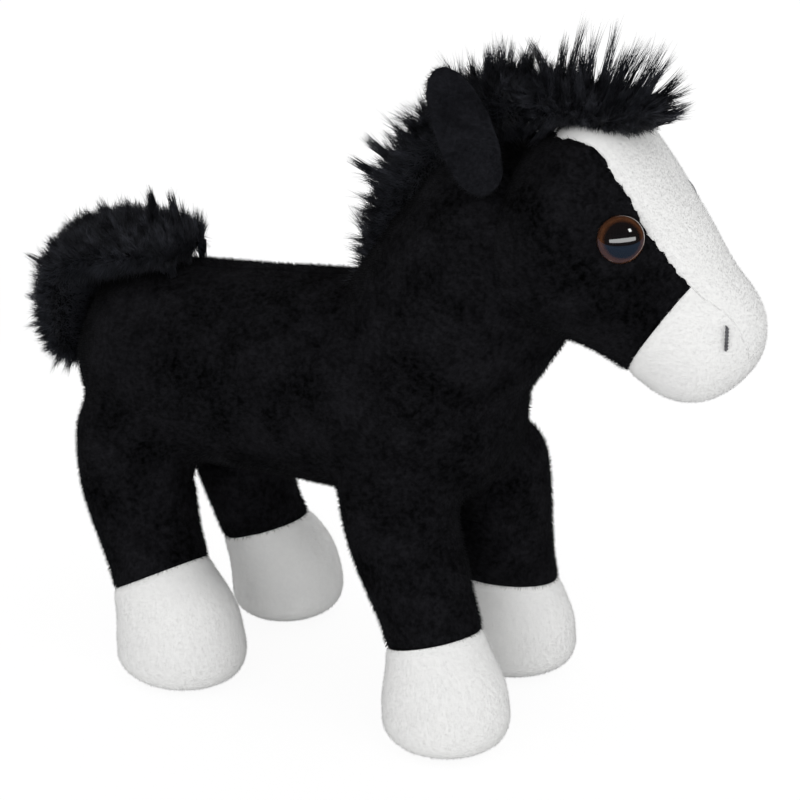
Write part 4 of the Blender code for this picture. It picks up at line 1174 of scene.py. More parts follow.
def strands(name, roots, ways, lengths, seed, per_lock=24, spread_mm=1.5, width_mm=0.17,
            gather=0.85, loose=0.35, bend_share=0.18, shortest=0.60):
    """Bundles of closed strands along bent lines.

    A lock's line is root + way * length * t + bend * length * t squared, where t runs from 0
    to 1. Each strand keeps its own offset from it, times 1 - gather * t to the power 0.8, and
    strays by t to the power 1.5. Its width shrinks with the square root of 1 - t.
    """
    vary = np.random.default_rng(seed)
    locks = len(roots)
    count = locks * per_lock
    lock = np.repeat(np.arange(locks), per_lock)
    side = unit(np.cross(ways, BEND_WAY))
    other = np.cross(ways, side)
    radius = spread_mm * MM * np.sqrt(vary.random(count))
    angle = vary.uniform(0, TAU, count)
    offset = side[lock] * (radius * np.cos(angle))[:, None]
    offset += other[lock] * (radius * np.sin(angle))[:, None]
    reach = lengths[lock] * vary.uniform(shortest, 1.0, count)
    bend = (vary.normal(size=(locks, 3)) * bend_share)[lock]
    bend += vary.normal(size=(count, 3)) * bend_share * OWN_BEND
    t = np.linspace(0, 1, STRAND_STEPS)
    line = roots[lock][:, None] + ways[lock][:, None] * (reach[:, None] * t)[..., None]
    line += bend[:, None] * (reach[:, None] * t * t)[..., None]
    stray = vary.normal(size=(count, 1, 3)) * loose * MM * (t ** STRAY_POWER)[None, :, None]
    line += offset[:, None] * (1 - gather * t ** GATHER_POWER)[None, :, None] + stray
    direction = unit(np.gradient(line, axis=1))
    across = unit(np.cross(direction, SKEW))
    third = np.cross(direction, across)
    turn = THIRDS[None, None, :, None]
    ring = across[:, :, None] * np.cos(turn) + third[:, :, None] * np.sin(turn)
    width = width_mm * MM / 2 * np.sqrt(1 - t)[None, :] * vary.uniform(*WIDTH_RANGE, count)[:, None]
    body = line[:, :-1, None] + ring[:, :-1] * width[:, :-1, None, None]
    points = np.concatenate([body.reshape(count, -1, 3), line[:, -1:]], axis=1)
    rows = STRAND_STEPS - 1
    quads = grid_faces(rows, 3)
    last, tip = (rows - 1) * 3, rows * 3
    ends = np.array([[last, last + 1, tip], [last + 1, last + 2, tip],
                     [last + 2, last, tip], [2, 1, 0]])
    pattern = np.concatenate([quads[:, [0, 1, 2]], quads[:, [0, 2, 3]], ends])
    first = (np.arange(count) * (tip + 1))[:, None, None]
    made = mesh_object(name, points.reshape(-1, 3), (first + pattern[None]).reshape(-1, 3))
    own = vary.uniform(*LOCK_SHADES, locks)[lock] + vary.normal(0, STRAND_SHADE_SPREAD, count)
    # Painted shade at the roots and a painted highlight towards the tips, times each lock's own
    # random shade.
    tone = PAINTED_SHADE_AT_ROOT + PAINTED_LIGHT_TO_TIP * np.concatenate([np.repeat(t[:-1], 3), t[-1:]])
    set_values(made, "shade", np.clip(own[:, None] * tone[None, :], *STRAND_SHADE_LIMITS).ravel())
    cell_map(made, count, len(pattern) * 3)
    made.data.materials.append(long_pile)
    print(name, "locks:", locks, "strands:", count, "triangles:", len(made.data.polygons))
    return made


print("strands ready")

# %% [markdown]
# ### Layers of locks
#
# Locks stand in rows on the backing of the long-pile fabric, as they were woven, and every other
# row is half a step aside. How they lean changes along the piece: a mane falls back on the neck
# and stands up on the poll. A few numbers along the way say so, and the rest is mixed.

# %% Layers of locks
JITTER, ENDS = 0.4, (0.01, 0.99)
SIDE_START, SIDE_SPAN, SIDE_SHORTER = 1.3, 0.5, 0.45


def lock_places(core, rows, columns, angles, vary):
    """Staggered shares and angles over a core, each moved a little at random."""
    row, column = np.meshgrid(np.arange(rows), np.arange(columns), indexing="ij")
    shake = vary.uniform(-JITTER, JITTER, (2, rows, columns))
    share = (row + 0.5 + shake[0]) / rows
    step = (angles[1] - angles[0]) / columns
    angle = angles[0] + (column + 0.25 + 0.5 * (row % 2) + shake[1]) * step
    return np.clip(share.ravel(), *ENDS), angle.ravel()


def lock_layer(core, rows, columns, angles, habit, depth, vary, stand=1.0, shake=0.20):
    """Roots, directions and lengths of a layer of locks.

    The habit's rows are (share along the core, lean forwards, lean upwards, lock length in mm),
    and what lies between two rows is their mix. A lock points along stand * normal + lean. Far
    round the sides the locks are shorter.
    """
    share, angle = lock_places(core, rows, columns, angles, vary)
    normals = core.outward(share, angle)
    roots = core.at(share, angle) - normals * depth
    habit = np.array(habit)
    forward, upward, length = (np.interp(share, habit[:, 0], habit[:, k]) for k in (1, 2, 3))
    lean = np.stack([forward, 0 * forward, upward], -1)
    ways = unit(normals * stand + lean + vary.normal(size=normals.shape) * shake)
    beside = np.clip((np.abs(angle - np.mean(angles)) - SIDE_START) / SIDE_SPAN, 0, 1)
    lengths = length * MM * (1 - SIDE_SHORTER * beside)
    return roots, ways, lengths * vary.uniform(*LENGTH_RANGE, len(roots))


print("layers ready")

# %% [markdown]
# ### A brush
#
# A long-pile piece has a dark ground, which fills it, and an undercoat of slivers, so that no
# gap shows light. Locks stand over both, then a sparse crest of long, straight ones, and last a
# few thick locks, which give the outline the spikes that the eye remembers.

# %% A brush of long pile
UNDER_DENSITY, UNDER_WIDTH, UNDER_LEAN, UNDER_LOOSE, UNDER_ASIDE = 6.0, 0.22 * MM, 0.5, 0.35, 0.01
CREST_LAYER = {"stand": 0.5, "shake": 0.10}
CREST_LOOK = {"per_lock": 34, "spread_mm": 1.6, "gather": 0.78, "loose": 0.45,
              "bend_share": 0.07, "shortest": 0.70}
THICK_LOOK = {"per_lock": 80, "spread_mm": 1.5, "width_mm": 0.22, "gather": 0.45, "loose": 0.25,
              "bend_share": 0.06, "shortest": 0.75}
THICK_ROOT_DEPTH = 2.0 * MM


def brush(name, core, layer, crest, thick, depth, under_length, seed):
    """The ground, the locks, the undercoat, the crest and the thick locks of one piece.

    A layer and a crest are (rows, columns, angles, habit). A thick lock is (share, angle, lean
    forwards, lean upwards, length in mm).
    """
    vary = np.random.default_rng(seed)
    ground = closed_segment(f"{name}_ground", core, depth, rows=40, columns=40)
    ground.data.materials.append(long_base)
    locks = strands(f"{name}_locks", *lock_layer(core, *layer, depth, vary), seed + 1)
    habit = layer[-1]
    _, forward, upward, _ = habit[len(habit) // 2]
    under_kind = UNDER_DENSITY, under_length, UNDER_WIDTH, UNDER_LEAN, UNDER_LOOSE
    under = add_pile(ground, long_pile, under_kind, seed + 2,
                     lambda points: np.tile([forward, UNDER_ASIDE, upward], (len(points), 1)))
    long_ones = lock_layer(core, *crest, depth, vary, **CREST_LAYER)
    top = strands(f"{name}_crest", *long_ones, seed + 3, **CREST_LOOK)
    share, angle, forward, upward, length = np.array(thick).T
    roots = core.at(share, angle) - core.outward(share, angle) * THICK_ROOT_DEPTH
    ways = unit(np.stack([forward, 0 * forward, upward], -1))
    thick_ones = strands(f"{name}_stray_locks", roots, ways, length * MM, seed + 5, **THICK_LOOK)
    return ground, locks, under, top, thick_ones


print("brushes ready")

# %% [markdown]
# ### The mane
#
# The mane is one strip of long pile, sewn along the ridge of the neck from the withers to the
# poll. Its locks lean back low on the neck and stand up at the head. Two thick ones lean out
# over the withers.

# %% Pattern of the mane
BRUSH_CAP = 0.10
MANE_HALF_WIDTH, MANE_DEPTH = 0.0070, 0.0070
# forwards and upwards on the neck, half-width, depth
MANE_TABLE = (
    (-0.16, 0.29, 0.60, 0.80),
    (-0.06, 0.65, 0.90, 1.00),
    (0.13, 0.93, 1.10, 1.10),
    (0.50, 1.17, 1.10, 1.30),
    (0.86, 1.31, 1.05, 1.20),
)
mane_core = Segment([
    (*neck_place(reach, climb), MANE_HALF_WIDTH * width, MANE_DEPTH * depth, MANE_DEPTH * depth)
    for reach, climb, width, depth in MANE_TABLE
], BRUSH_CAP, BRUSH_CAP)
MANE_HABIT = ((0.0, -0.3, 0.3, 7.0), (0.5, -0.2, 0.4, 7.5),
              (0.8, 0.1, 0.5, 9.0), (1.0, 0.4, 0.4, 8.5))
MANE_CREST = ((0.0, -0.6, 0.3, 6.5), (0.4, -0.5, 0.6, 8.0),
              (0.7, -0.1, 1.0, 9.5), (1.0, 0.2, 1.0, 11.0))
MANE_THICK = ((0.46, 0.0, -0.88, 0.46, 13.5), (0.40, 0.0, -0.95, 0.30, 13.0))
print("mane, mm:", round(mane_core.length / MM, 1))

# %% [markdown]
# ### The forelock
#
# The forelock is a second, flat strip over the poll, and its locks reach forward like a cap's
# peak. Short thick ones at its rear close the space between it and the mane.

# %% Pattern of the forelock
FORELOCK_LENGTH, FORELOCK_HALF_WIDTH, FORELOCK_DEPTH = 0.0330, 0.0105, 0.0048
FORELOCK_START, FORELOCK_LIFT = 0.60, 0.0015
# along the brush, how far it is lifted, half-width, depth
FORELOCK_TABLE = (
    (0.00, -0.20, 0.80, 1.70),
    (0.30, 0.25, 0.95, 1.10),
    (0.70, 0.10, 0.95, 1.00),
    (1.00, 0.30, 0.60, 0.80),
)


def forelock_stations():
    """A short brush above the poll that reaches forward over the brow."""
    x = SKULL[0] - SKULL_RADIUS * FORELOCK_START
    z = SKULL[2] + SKULL_RADIUS + FORELOCK_DEPTH + FORELOCK_LIFT
    for along, up, width, depth in FORELOCK_TABLE:
        place = x + FORELOCK_LENGTH * along, 0.0, z + FORELOCK_DEPTH * up
        yield (*place, FORELOCK_HALF_WIDTH * width, FORELOCK_DEPTH * depth, FORELOCK_DEPTH * depth)


forelock_core = Segment(list(forelock_stations()), BRUSH_CAP, BRUSH_CAP)
FORELOCK_HABIT = ((0.0, 0.1, 0.3, 7.0), (0.3, 0.2, 0.3, 6.0),
                  (0.7, 0.6, 0.3, 5.5), (1.0, 1.6, 0.4, 7.0))
FORELOCK_CREST = ((0.0, -0.1, 1.0, 13.5), (0.3, 0.1, 1.0, 15.5), (0.5, 0.35, 1.0, 20.0),
                  (0.75, 0.75, 1.0, 20.0), (0.88, 1.1, 0.8, 13.5), (1.0, 2.4, 0.2, 14.0))
HALF_TURN, LOW, BESIDE = math.pi, 2.7, 2.0
FORELOCK_THICK = ((0.88, HALF_TURN, 0.87, 0.46, 15.0), (0.97, HALF_TURN, 0.95, 0.30, 9.0),
                  (0.04, LOW, -0.5, -1.0, 8.0), (0.04, -LOW, -0.5, -1.0, 8.0),
                  (0.02, BESIDE, -0.8, -1.0, 9.0), (0.02, -BESIDE, -0.8, -1.0, 9.0),
                  (0.02, HALF_TURN, -0.9, -0.7, 10.0))
print("forelock, mm:", round(forelock_core.length / MM, 1))

# %% [markdown]
# ### The tail
#
# The tail is a tuft that hangs round the rump in a bow. It is sewn on by a tab at its front end
# only, so a few short dark locks under its root hold on to the back when the tail is lifted.

# %% Pattern of the tail
TAIL_HALF_WIDTH, TAIL_DEPTH = 0.0180, 0.0090
# backwards and upwards from the torso's end, half-width, depth
TAIL_TABLE = (
    (-1.34, 1.18, 0.55, 0.40),
    (-0.66, 1.12, 0.95, 0.90),
    (0.00, 0.88, 1.00, 1.00),
    (0.13, 0.26, 0.92, 0.95),
    (0.04, -0.30, 0.60, 0.70),
)
tail_core = Segment([
    (TORSO_REAR - TORSO_RISE * back, 0.0, TORSO_HEIGHT + TORSO_RISE * up,
     TAIL_HALF_WIDTH * width, TAIL_DEPTH * depth, TAIL_DEPTH * depth)
    for back, up, width, depth in TAIL_TABLE
], BRUSH_CAP, BRUSH_CAP)
TAIL_HABIT = ((0.0, -0.9, 1.6, 7.0), (0.25, -0.3, 0.6, 6.0),
              (0.6, -0.2, 0.2, 5.5), (1.0, -0.2, 0.1, 5.5))
TAIL_CREST = ((0.0, -0.6, 1.4, 9.0), (0.3, -0.5, 1.0, 7.5),
              (0.7, -0.8, 0.2, 6.5), (1.0, -0.6, -0.3, 6.0))
TAIL_THICK = ((0.10, HALF_TURN, -0.20, 1.0, 13.0), (0.20, HALF_TURN, -0.10, 1.0, 11.0),
              (0.07, 0.0, 0.2, -1.0, 8.0), (0.07, 0.9, 0.2, -1.0, 8.0),
              (0.07, -0.9, 0.2, -1.0, 8.0), (0.12, 0.5, 0.1, -1.0, 9.0),
              (0.12, -0.5, 0.1, -1.0, 9.0))
print("tail, mm:", round(tail_core.length / MM, 1))

# %% [markdown]
# ### All three brushes
#
# A layer says how many rows and columns of locks there are and between which angles round the
# strip. On the mane and the forelock angle 0 is the outer side. The tail's line runs backwards
# and down, so there the outer side is half a turn away.

# %% Mane, forelock and tail
BRUSHES = (
    ("mane", BODY, {
        "core": mane_core, "seed": 21, "depth": 3.0 * MM, "under_length": 5.5 * MM,
        "layer": (26, 13, (-2.0, 2.0), MANE_HABIT),
        "crest": (22, 2, (-0.7, 0.7), MANE_CREST),
        "thick": MANE_THICK,
    }),
    ("forelock", BODY, {
        "core": forelock_core, "seed": 31, "depth": 2.0 * MM, "under_length": 3.0 * MM,
        "layer": (20, 16, (-2.4, 2.4), FORELOCK_HABIT),
        "crest": (12, 3, (-1.0, 1.0), FORELOCK_CREST),
        "thick": FORELOCK_THICK,
    }),
    ("tail", "tail", {
        "core": tail_core, "seed": 41, "depth": 3.5 * MM, "under_length": 4.5 * MM,
        "layer": (20, 17, (HALF_TURN - 2.0, HALF_TURN + 2.0), TAIL_HABIT),
        "crest": (12, 3, (HALF_TURN - 1.2, HALF_TURN + 1.2), TAIL_CREST),
        "thick": TAIL_THICK,
    }),
)
for name, body, measures in BRUSHES:
    hand_over(brush(name, **measures), body, [name])

# %% [markdown]
# ## Ears
#
# Each ear is two leaves of fabric, sewn together at the rim and folded once at the root. It
# stands off the neck by its own thickness and leans back along it, the far one further.

# %% Place of the ears
EAR_SHARE, EAR_ANGLE = 0.885, math.radians(68.0)
EAR_LAYER, EAR_EDGE, EAR_GAP = 0.0014, 0.0005, 0.15 * MM
# by side: the right ear half raised, the left one laid back
EAR_LEAN = {-1: math.radians(31.0), 1: math.radians(80.0)}
ROOT_START, FULL_POWER = 0.03, 0.80


def ear_thickness(share):
    """Thin at the seam and at the tip, full between: half a sine of a power of the share."""
    full = np.sin(math.pi * np.minimum(1.0, share + ROOT_START) ** FULL_POWER)
    return EAR_EDGE + (EAR_LAYER - EAR_EDGE) * full


def ear_frame(side):
    """The ear's place and its three directions: along the seam, to the tip, and outwards."""
    angle = -side * EAR_ANGLE
    normal = neck.outward(EAR_SHARE, angle)
    place = neck.at(EAR_SHARE, angle) + normal * (float(ear_thickness(0.0)) + EAR_GAP)
    lean = EAR_LEAN[side]
    seam = np.array([math.cos(lean), 0.0, math.sin(lean)])
    seam = unit(seam - normal * seam.dot(normal))
    tip = np.array([-math.sin(lean), 0.0, math.cos(lean)])
    tip = unit(tip - seam * tip.dot(seam))
    return place, seam, tip, np.cross(seam, tip) * -side


for word, side in SIDES:
    print(f"{word} ear is sewn on at, mm:", np.round(ear_frame(side)[0] / MM, 1))

# %% [markdown]
# ### The shape of a leaf
#
# The leaf is a grid: one parameter, the share, runs from the root to the tip, and the other,
# across, from the rear edge at -1 to the front edge at 1. Its edges curl outwards by the square
# of across, a shallow crease runs over it aslant, and the whole leaf sweeps back.

# %% Leaves of the ears
EAR_LENGTH, EAR_HALF_WIDTH, EAR_CUP, EAR_ROOT_CURVE = 0.0330, 0.0072, 0.0022, 0.0022
EAR_SWEEP, SWEEP_POWER, ROOT_POWER = 0.0045, 1.4, 8
EAR_ALONG = (0.0, 0.12, 0.35, 0.60, 0.82, 0.94, 1.0)
EAR_WIDE = (0.58, 0.80, 1.0, 1.0, 0.82, 0.54, 0.18)
CREASE_PLACE, CREASE_SLANT, CREASE_DEPTH, CREASE_WIDTH = 0.56, 0.16, 0.9 * MM, 0.045
RIM_PART, LAYER_GAP = 0.5, 0.10 * MM
EAR_ROWS, EAR_COLUMNS = 48, 24


def ear_leaf(name, side, sign):
    """One layer: its inner face lies half a gap from the middle, its outer one a thickness on.

    Along the seam a point lies at across * half-width - sweep * share to the power 1.4, and
    towards the tip at share * length, with a root that curves up to its edges.
    """
    place, seam, tip, out = ear_frame(side)
    share = np.linspace(0, 1, EAR_ROWS)[:, None]
    across = np.linspace(-1, 1, EAR_COLUMNS)[None, :]
    width, middle = np.interp(share, EAR_ALONG, EAR_WIDE), 1 - across ** 2
    crease = (share - CREASE_PLACE + CREASE_SLANT * across) / CREASE_WIDTH
    fold = CREASE_DEPTH * np.exp(-crease ** 2) * middle
    rim = EAR_EDGE * RIM_PART
    near = EAR_CUP * across ** 2 * width * share - fold + sign * LAYER_GAP
    far = near + sign * (rim + (ear_thickness(share) - rim) * middle)
    x = across * EAR_HALF_WIDTH * width - EAR_SWEEP * share ** SWEEP_POWER
    y = share * EAR_LENGTH + EAR_ROOT_CURVE * across ** 2 * (1 - share) ** ROOT_POWER
    faces = [place + x[..., None] * seam + y[..., None] * tip + height[..., None] * out
             for height in (near, far)]
    loop = closed_ends(np.concatenate([faces[0], faces[1][:, ::-1]], axis=1))
    made = mesh_object(name, loop.reshape(-1, 3), grid_faces(len(loop), loop.shape[1]))
    weld(made, outwards=True)
    return made


print("a leaf has", EAR_ROWS, "rows and", 2 * EAR_COLUMNS, "columns of points")

# %% [markdown]
# ### The ears' pile
#
# The short pile of an ear is ruffled more than the body's. It catches light at the tip and at
# the rear edge, and lies in shade at the root and at the front edge.

# %% Ears
# fibres for each square millimetre, length, width, lean along the nap, looseness
EAR_KIND = (5.0, 1.4 * MM, 0.17 * MM, 0.7, 0.55)
EAR_SEED, SEED_STEP, EAR_FILL = 51, 5, 0.3
# Ear fibres get painted light at the tip and the rear edge, and painted shade at the root and the
# front edge.
TONE_START, TONE_UP, TONE_FORWARD, TONE_SLANT = 0.75, 0.35, 0.55, 0.4
TONE_LIMITS = 0.15, 1.2


def ear_painted_light(roots, side):
    """Painted light and shade on the fibres: start + a part of up - a part of (forward + a part of
    up).
    """
    place, seam, tip, _ = ear_frame(side)
    forward, up = ((roots - place) @ seam) / EAR_HALF_WIDTH, ((roots - place) @ tip) / EAR_LENGTH
    tone = TONE_START + TONE_UP * up - TONE_FORWARD * (forward + TONE_SLANT * up)
    return np.clip(tone, *TONE_LIMITS)


for word, side in SIDES:
    for layer, sign in (("outer", 1), ("lining", -1)):
        leaf = ear_leaf(f"ear_{word}_{layer}_leaf", side, sign)
        tufts = add_pile(leaf, ear_pile, EAR_KIND, EAR_SEED + sign + side * SEED_STEP,
                         tone=partial(ear_painted_light, side=side))
        leaf.data.materials.append(ear_base)
        hand_over((leaf, tufts), f"ear_{word}", [f"ear_{word}_{layer}"])
        print(leaf.name, "fibres:", len(tufts.data.polygons) // 4)

# %% [markdown]
# ## Eyes
#
# A safety eye is a clear dome with a coloured back and a black disc for the pupil. From
# outside it is one polished surface, so the pupil and the iris are not separate shapes: each
# point of the dome keeps its distance from the axis, and the colour is read from that.

# %% Eyes
EYE_SHARE, EYE_ANGLE = 0.448, 57.5
EYE_RADIUS, EYE_DOME = 0.0060, 0.0030
DOME_LIFT = 0.6 * MM
RIM_RADII, RIM_DROPS = (0.97, 0.6, 0.0), (-0.0007, -0.0011, -0.0011)
EYE_ROWS, EYE_COLUMNS = 26, 64


def dome(name, side):
    """A turned surface: radius * sine and height * cosine of a quarter circle, and a rim."""
    angle = head_angle(EYE_ANGLE, side)
    place, out = head.at(EYE_SHARE, angle), head.outward(EYE_SHARE, angle)
    across = unit(np.cross(out, np.array([0.0, 0.0, 1.0])))
    up = np.cross(across, out)
    quarter = np.linspace(0, 1, EYE_ROWS) * math.pi / 2
    radius = EYE_RADIUS * np.concatenate([np.sin(quarter), RIM_RADII])
    height = np.concatenate([EYE_DOME * np.cos(quarter), RIM_DROPS]) - (SKIN_DEPTH - DOME_LIFT)
    turn = np.linspace(0, TAU, EYE_COLUMNS, endpoint=False)
    ring = np.cos(turn)[:, None] * across + np.sin(turn)[:, None] * up
    points = place + radius[:, None, None] * ring[None] + height[:, None, None] * out
    made = mesh_object(name, points.reshape(-1, 3), grid_faces(len(radius), EYE_COLUMNS))
    set_values(made, "ring", np.repeat(radius / EYE_RADIUS, EYE_COLUMNS))
    weld(made, outwards=True)
    return made


print("eye, mm:", 2 * EYE_RADIUS / MM, "across and", EYE_DOME / MM, "high")

# %% [markdown]
# ### The eye's colour
#
# The pupil is black, and the iris brown, darker towards its rim and a little streaked. Both are
# smooth plastic under a hard clear coat, because a clear dome mirrors far more of the lamps
# than a painted one would.

# %% Eyes in their places
COAT_IOR, STREAK_SCALE, STREAKS = 2.0, 1400.0, (0.75, 1.15)
GRAIN_DETAIL, GRAIN_RANGE = 3.0, (0.3, 0.7)
# share of the radius, colour
EYE_RINGS = (
    (0.00, (0.004, 0.003, 0.004)),
    (0.70, (0.005, 0.003, 0.003)),
    (0.76, (0.030, 0.010, 0.004)),
    (0.86, (0.075, 0.027, 0.010)),
    (0.95, (0.050, 0.018, 0.007)),
    (1.00, (0.008, 0.004, 0.003)),
)


def eye_material():
    """Black pupil, brown ring that darkens towards its rim, under a clear coat."""
    made, tree, shader = new_material("safety_eye", roughness=0.07, specular=1.0, coat=1.0)
    shader.inputs["Coat IOR"].default_value = COAT_IOR
    ring = add_node(tree, "ShaderNodeAttribute", attribute_name="ring")
    ramp = add_node(tree, "ShaderNodeValToRGB")
    while len(ramp.color_ramp.elements) < len(EYE_RINGS):
        ramp.color_ramp.elements.new(0.5)
    for element, (place, colour) in zip(ramp.color_ramp.elements, EYE_RINGS):
        element.position, element.color = place, (*colour, 1)
    feed(tree, ramp.inputs["Fac"], ring.outputs["Fac"])
    grain = surface_noise(tree, Scale=STREAK_SCALE, Detail=GRAIN_DETAIL)
    streaks = remap(tree, grain, *GRAIN_RANGE, *STREAKS)
    feed(tree, shader.inputs["Base Color"], times_grey(tree, ramp.outputs["Color"], streaks))
    return made


eye_finish = eye_material()
for word, side in SIDES:
    piece = dome(f"eye_{word}_polished_dome", side)
    piece.data.materials.append(eye_finish)
    hand_over((piece,), BODY, [f"eye_{word}_dome"])
    print(piece.name, "faces:", len(piece.data.polygons))

# %% [markdown]
# ## Nostrils
#
# Each nostril is one upright stitch of grey thread. Two strands are twisted round each other:
# their centres turn round the stitch's line, half a turn apart.

# %% Nostril stitches
NOSTRIL_SHARES, NOSTRIL_ANGLES = (0.857, 0.912), (48.0, 66.0)
THREAD_RADIUS, TWISTS, TWIST_PART = 0.34 * MM, 4.0, 0.6
STITCH_LIFT, STITCH_SINK, STITCH_DIVE, DIVE_PART = 0.15 * MM, 0.6 * MM, 1.6 * MM, 0.12
STITCH_ROWS, STITCH_COLUMNS = 60, 10


def stitch(name, side):
    """Two tubes of circles carried along helices that dive under the pile at both ends.

    The stitch's line lies lift - sink * t squared - dive * (1 - square root of the share of
    the way from an end) above the head, and a thread's line turns round it.
    """
    t = np.linspace(0, 1, STITCH_ROWS)
    shares = NOSTRIL_SHARES[0] + (NOSTRIL_SHARES[1] - NOSTRIL_SHARES[0]) * t
    angles = head_angle(NOSTRIL_ANGLES[0] + (NOSTRIL_ANGLES[1] - NOSTRIL_ANGLES[0]) * t, side)
    line, out = head.at(shares, angles), head.outward(shares, angles)
    dive = 1 - np.sqrt(np.clip(np.minimum(t, 1 - t) / DIVE_PART, 0, 1))
    line = line + out * (STITCH_LIFT - STITCH_SINK * t ** 2 - STITCH_DIVE * dive)[:, None]
    forward = unit(np.gradient(line, axis=0))
    aside = np.cross(forward, out)
    parts = []
    for phase in (0.0, math.pi):
        twist = t * TAU * TWISTS + phase
        aim = aside * np.cos(twist)[:, None] + out * np.sin(twist)[:, None]
        centre = line + aim * THREAD_RADIUS * TWIST_PART
        turn = np.linspace(0, TAU, STITCH_COLUMNS, endpoint=False)[None, :, None]
        ring = aside[:, None] * np.cos(turn) + out[:, None] * np.sin(turn)
        tube = closed_ends(centre[:, None] + ring * THREAD_RADIUS)
        part = mesh_object("thread", tube.reshape(-1, 3), grid_faces(len(tube), STITCH_COLUMNS))
        weld(part, outwards=True)
        parts.append(part)
    made = joined(name, parts)
    made.data.shade_smooth()
    return made


THREAD_DARK, THREAD_LIGHT = (0.05, 0.05, 0.055), (0.16, 0.16, 0.17)
THREAD_LOOK = {"roughness": 0.8, "specular": 0.2, "sheen": 0.1}
thread = fabric("grey_thread_twist", THREAD_DARK, THREAD_LIGHT, patch=900, tuft=6000, **THREAD_LOOK)
for word, side in SIDES:
    piece = stitch(f"nostril_{word}_thread", side)
    piece.data.materials.append(thread)
    hand_over((piece,), BODY, [f"nostril_stitch_{word}"])
    print(piece.name, "faces:", len(piece.data.polygons))

# %% [markdown]
# ## Plain plastic inside
#
# The eyes' posts and washers lie inside the head. They keep the frame's own shape, with a
# moulded finish: a faint grain in the colour and in the roughness.

# %% Posts and washers
MOULD_SCALE, DARKER, SMOOTHER, ROUGHER = 500.0, 0.8, 0.9, 1.1


def moulded(name, colour, roughness):
    """Moulded plastic with a faint grain."""
    made, tree, shader = new_material(name, roughness)
    grain = surface_noise(tree, Scale=MOULD_SCALE, Detail=GRAIN_DETAIL)
    darker = tuple(channel * DARKER for channel in colour)
    gloss = remap(tree, grain, *GRAIN_RANGE, roughness * SMOOTHER, roughness * ROUGHER)
    feed(tree, shader.inputs["Base Color"], mix_colour(tree, grain, (*darker, 1), (*colour, 1)))
    feed(tree, shader.inputs["Roughness"], gloss)
    return made


PLASTICS = {
    "post": moulded("eye_post_black", (0.006, 0.006, 0.007), 0.15),
    "washer": moulded("washer_white", (0.70, 0.70, 0.68), 0.45),
}
for word, _ in SIDES:
    for part, finish in PLASTICS.items():
        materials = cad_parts[f"eye_{word}_{part}"].data.materials
        materials.clear()
        materials.append(finish)
print("plastic parts finished:", len(SIDES) * len(PLASTICS))

# %% [markdown]
# ## Floor and light
#
# The toy was photographed on white paper. Where the camera looks at the floor it is nearly white
# by itself, and it keeps a faint shadow under the feet. A mirror image in the eye shows the
# floor much darker, as a room round the paper would make it.

# %% Floor
WHITE = (1, 1, 1, 1)
OWN_GLOW, GLOW_PART, FLOOR_REACH = 1.03, 0.90, 3.0
# MIRRORED_FLOOR is a painted reflection: the floor's dark blue colour for mirror rays only, which
# the eyes show.
PAPER, MIRRORED_FLOOR = (0.88, 0.88, 0.88, 1), (0.05, 0.09, 0.15, 1)


def floor_material():
    """Mostly its own white for the camera, plain pale paint for other rays, and for mirror rays a
    dark blue, a painted reflection that the eyes show.
    """
    made = bpy.data.materials.new("floor_paper")
    made.use_nodes = True
    tree = made.node_tree
    tree.nodes.clear()
    out = tree.nodes.new("ShaderNodeOutputMaterial")
    paint = add_node(tree, "ShaderNodeBsdfDiffuse")
    glow = add_node(tree, "ShaderNodeEmission", inputs={"Color": WHITE, "Strength": OWN_GLOW})
    mix = tree.nodes.new("ShaderNodeMixShader")
    seen = tree.nodes.new("ShaderNodeLightPath")
    colour = mix_colour(tree, seen.outputs["Is Glossy Ray"], PAPER, MIRRORED_FLOOR)
    feed(tree, paint.inputs["Color"], colour)
    part = calculate(tree, "MULTIPLY", seen.outputs["Is Camera Ray"], GLOW_PART)
    for socket, value in zip(mix.inputs, (part, paint.outputs[0], glow.outputs[0])):
        feed(tree, socket, value)
    feed(tree, out.inputs["Surface"], mix.outputs[0])
    return made


corners = [(FLOOR_REACH * x, FLOOR_REACH * y, 0.0) for x, y in ((-1, -1), (1, -1), (1, 1), (-1, 1))]
floor = mesh_object("floor", corners, [[0, 1, 2, 3]])
floor.data.materials.append(floor_material())
print("floor laid")

# %% [markdown]
# ### The room
#
# An even, pale room lights black plush from all sides, as a light tent does. The camera sees it
# as plain white, and a mirror image as nearly dark, so that the eyes stay deep.

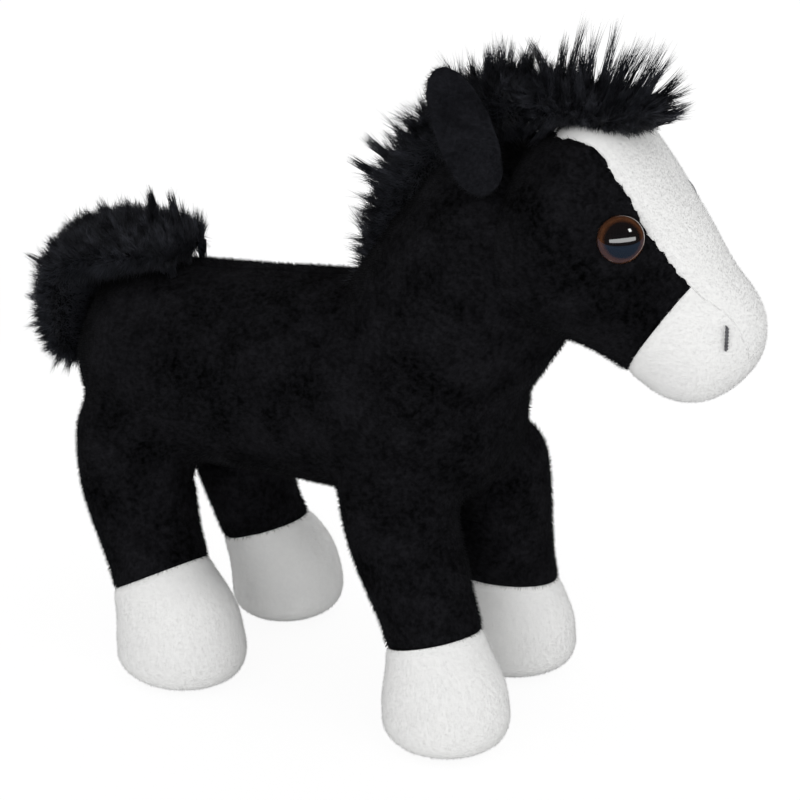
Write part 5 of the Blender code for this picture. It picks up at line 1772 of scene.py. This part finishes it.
# %% Room
CAMERA_WHITE, WORLD_LIGHT, WORLD_MIRRORED = 1.0, 0.95, 0.02
world = bpy.data.worlds.new("studio")
world.use_nodes = True
bpy.context.scene.world = world
tree, background = world.node_tree, world.node_tree.nodes["Background"]
seen = tree.nodes.new("ShaderNodeLightPath")
for_others = remap(tree, seen.outputs["Is Glossy Ray"], 0.0, 1.0, WORLD_LIGHT, WORLD_MIRRORED)
level = remap(tree, seen.outputs["Is Camera Ray"], 0.0, 1.0, for_others, CAMERA_WHITE)
feed(tree, background.inputs["Strength"], level)
background.inputs["Color"].default_value = WHITE
bpy.context.scene.view_settings.view_transform = "Standard"
print("room lit at", WORLD_LIGHT)

# %% [markdown]
# ### The lamps
#
# Three soft lamps: a window, whose mirror image gives each eye its bright bar, a softbox ahead
# for the small second spark, and a low one that fills the legs. The window's place isn't
# guessed: the camera's direction is mirrored at the middle of the near eye's dome.

# %% Lamps
WINDOW_DISTANCE, WINDOW_WIDTH, WINDOW_HEIGHT, WINDOW_POWER = 1.3, 1.9, 0.22, 2.5
# name: place, size, power, whether it is mirrored
SOFTBOXES = {
    "front_softbox": ((1.3, -0.4, 0.95), 0.22, 0.7, True),
    "low_softbox": ((0.1, -1.4, 0.3), 0.9, 2.8, False),
}


def lamp(name, place, size, power, toward=TARGET):
    """A square lamp that faces a point."""
    light = bpy.data.lights.new(name, "AREA")
    light.size, light.energy = size, power
    made = bpy.data.objects.new(name, light)
    made.location = place
    made.rotation_euler = (Vector(toward) - Vector(place)).to_track_quat("-Z", "Y").to_euler()
    bpy.context.collection.objects.link(made)
    return made


near_eye = head_angle(EYE_ANGLE, -1)
eye_place, eye_out = head.at(EYE_SHARE, near_eye), head.outward(EYE_SHARE, near_eye)
to_camera = unit(np.array(camera.matrix_world.translation) - eye_place)
mirrored_way = 2 * eye_out.dot(to_camera) * eye_out - to_camera
window_place = Vector(eye_place + mirrored_way * WINDOW_DISTANCE)
window = lamp("window", window_place, WINDOW_WIDTH, WINDOW_POWER, Vector(eye_place))
window.data.shape, window.data.size_y = "RECTANGLE", WINDOW_HEIGHT
for name, (place, size, power, mirrored) in SOFTBOXES.items():
    lamp(name, place, size, power).visible_glossy = mirrored
print("window is towards", np.round(mirrored_way, 2))
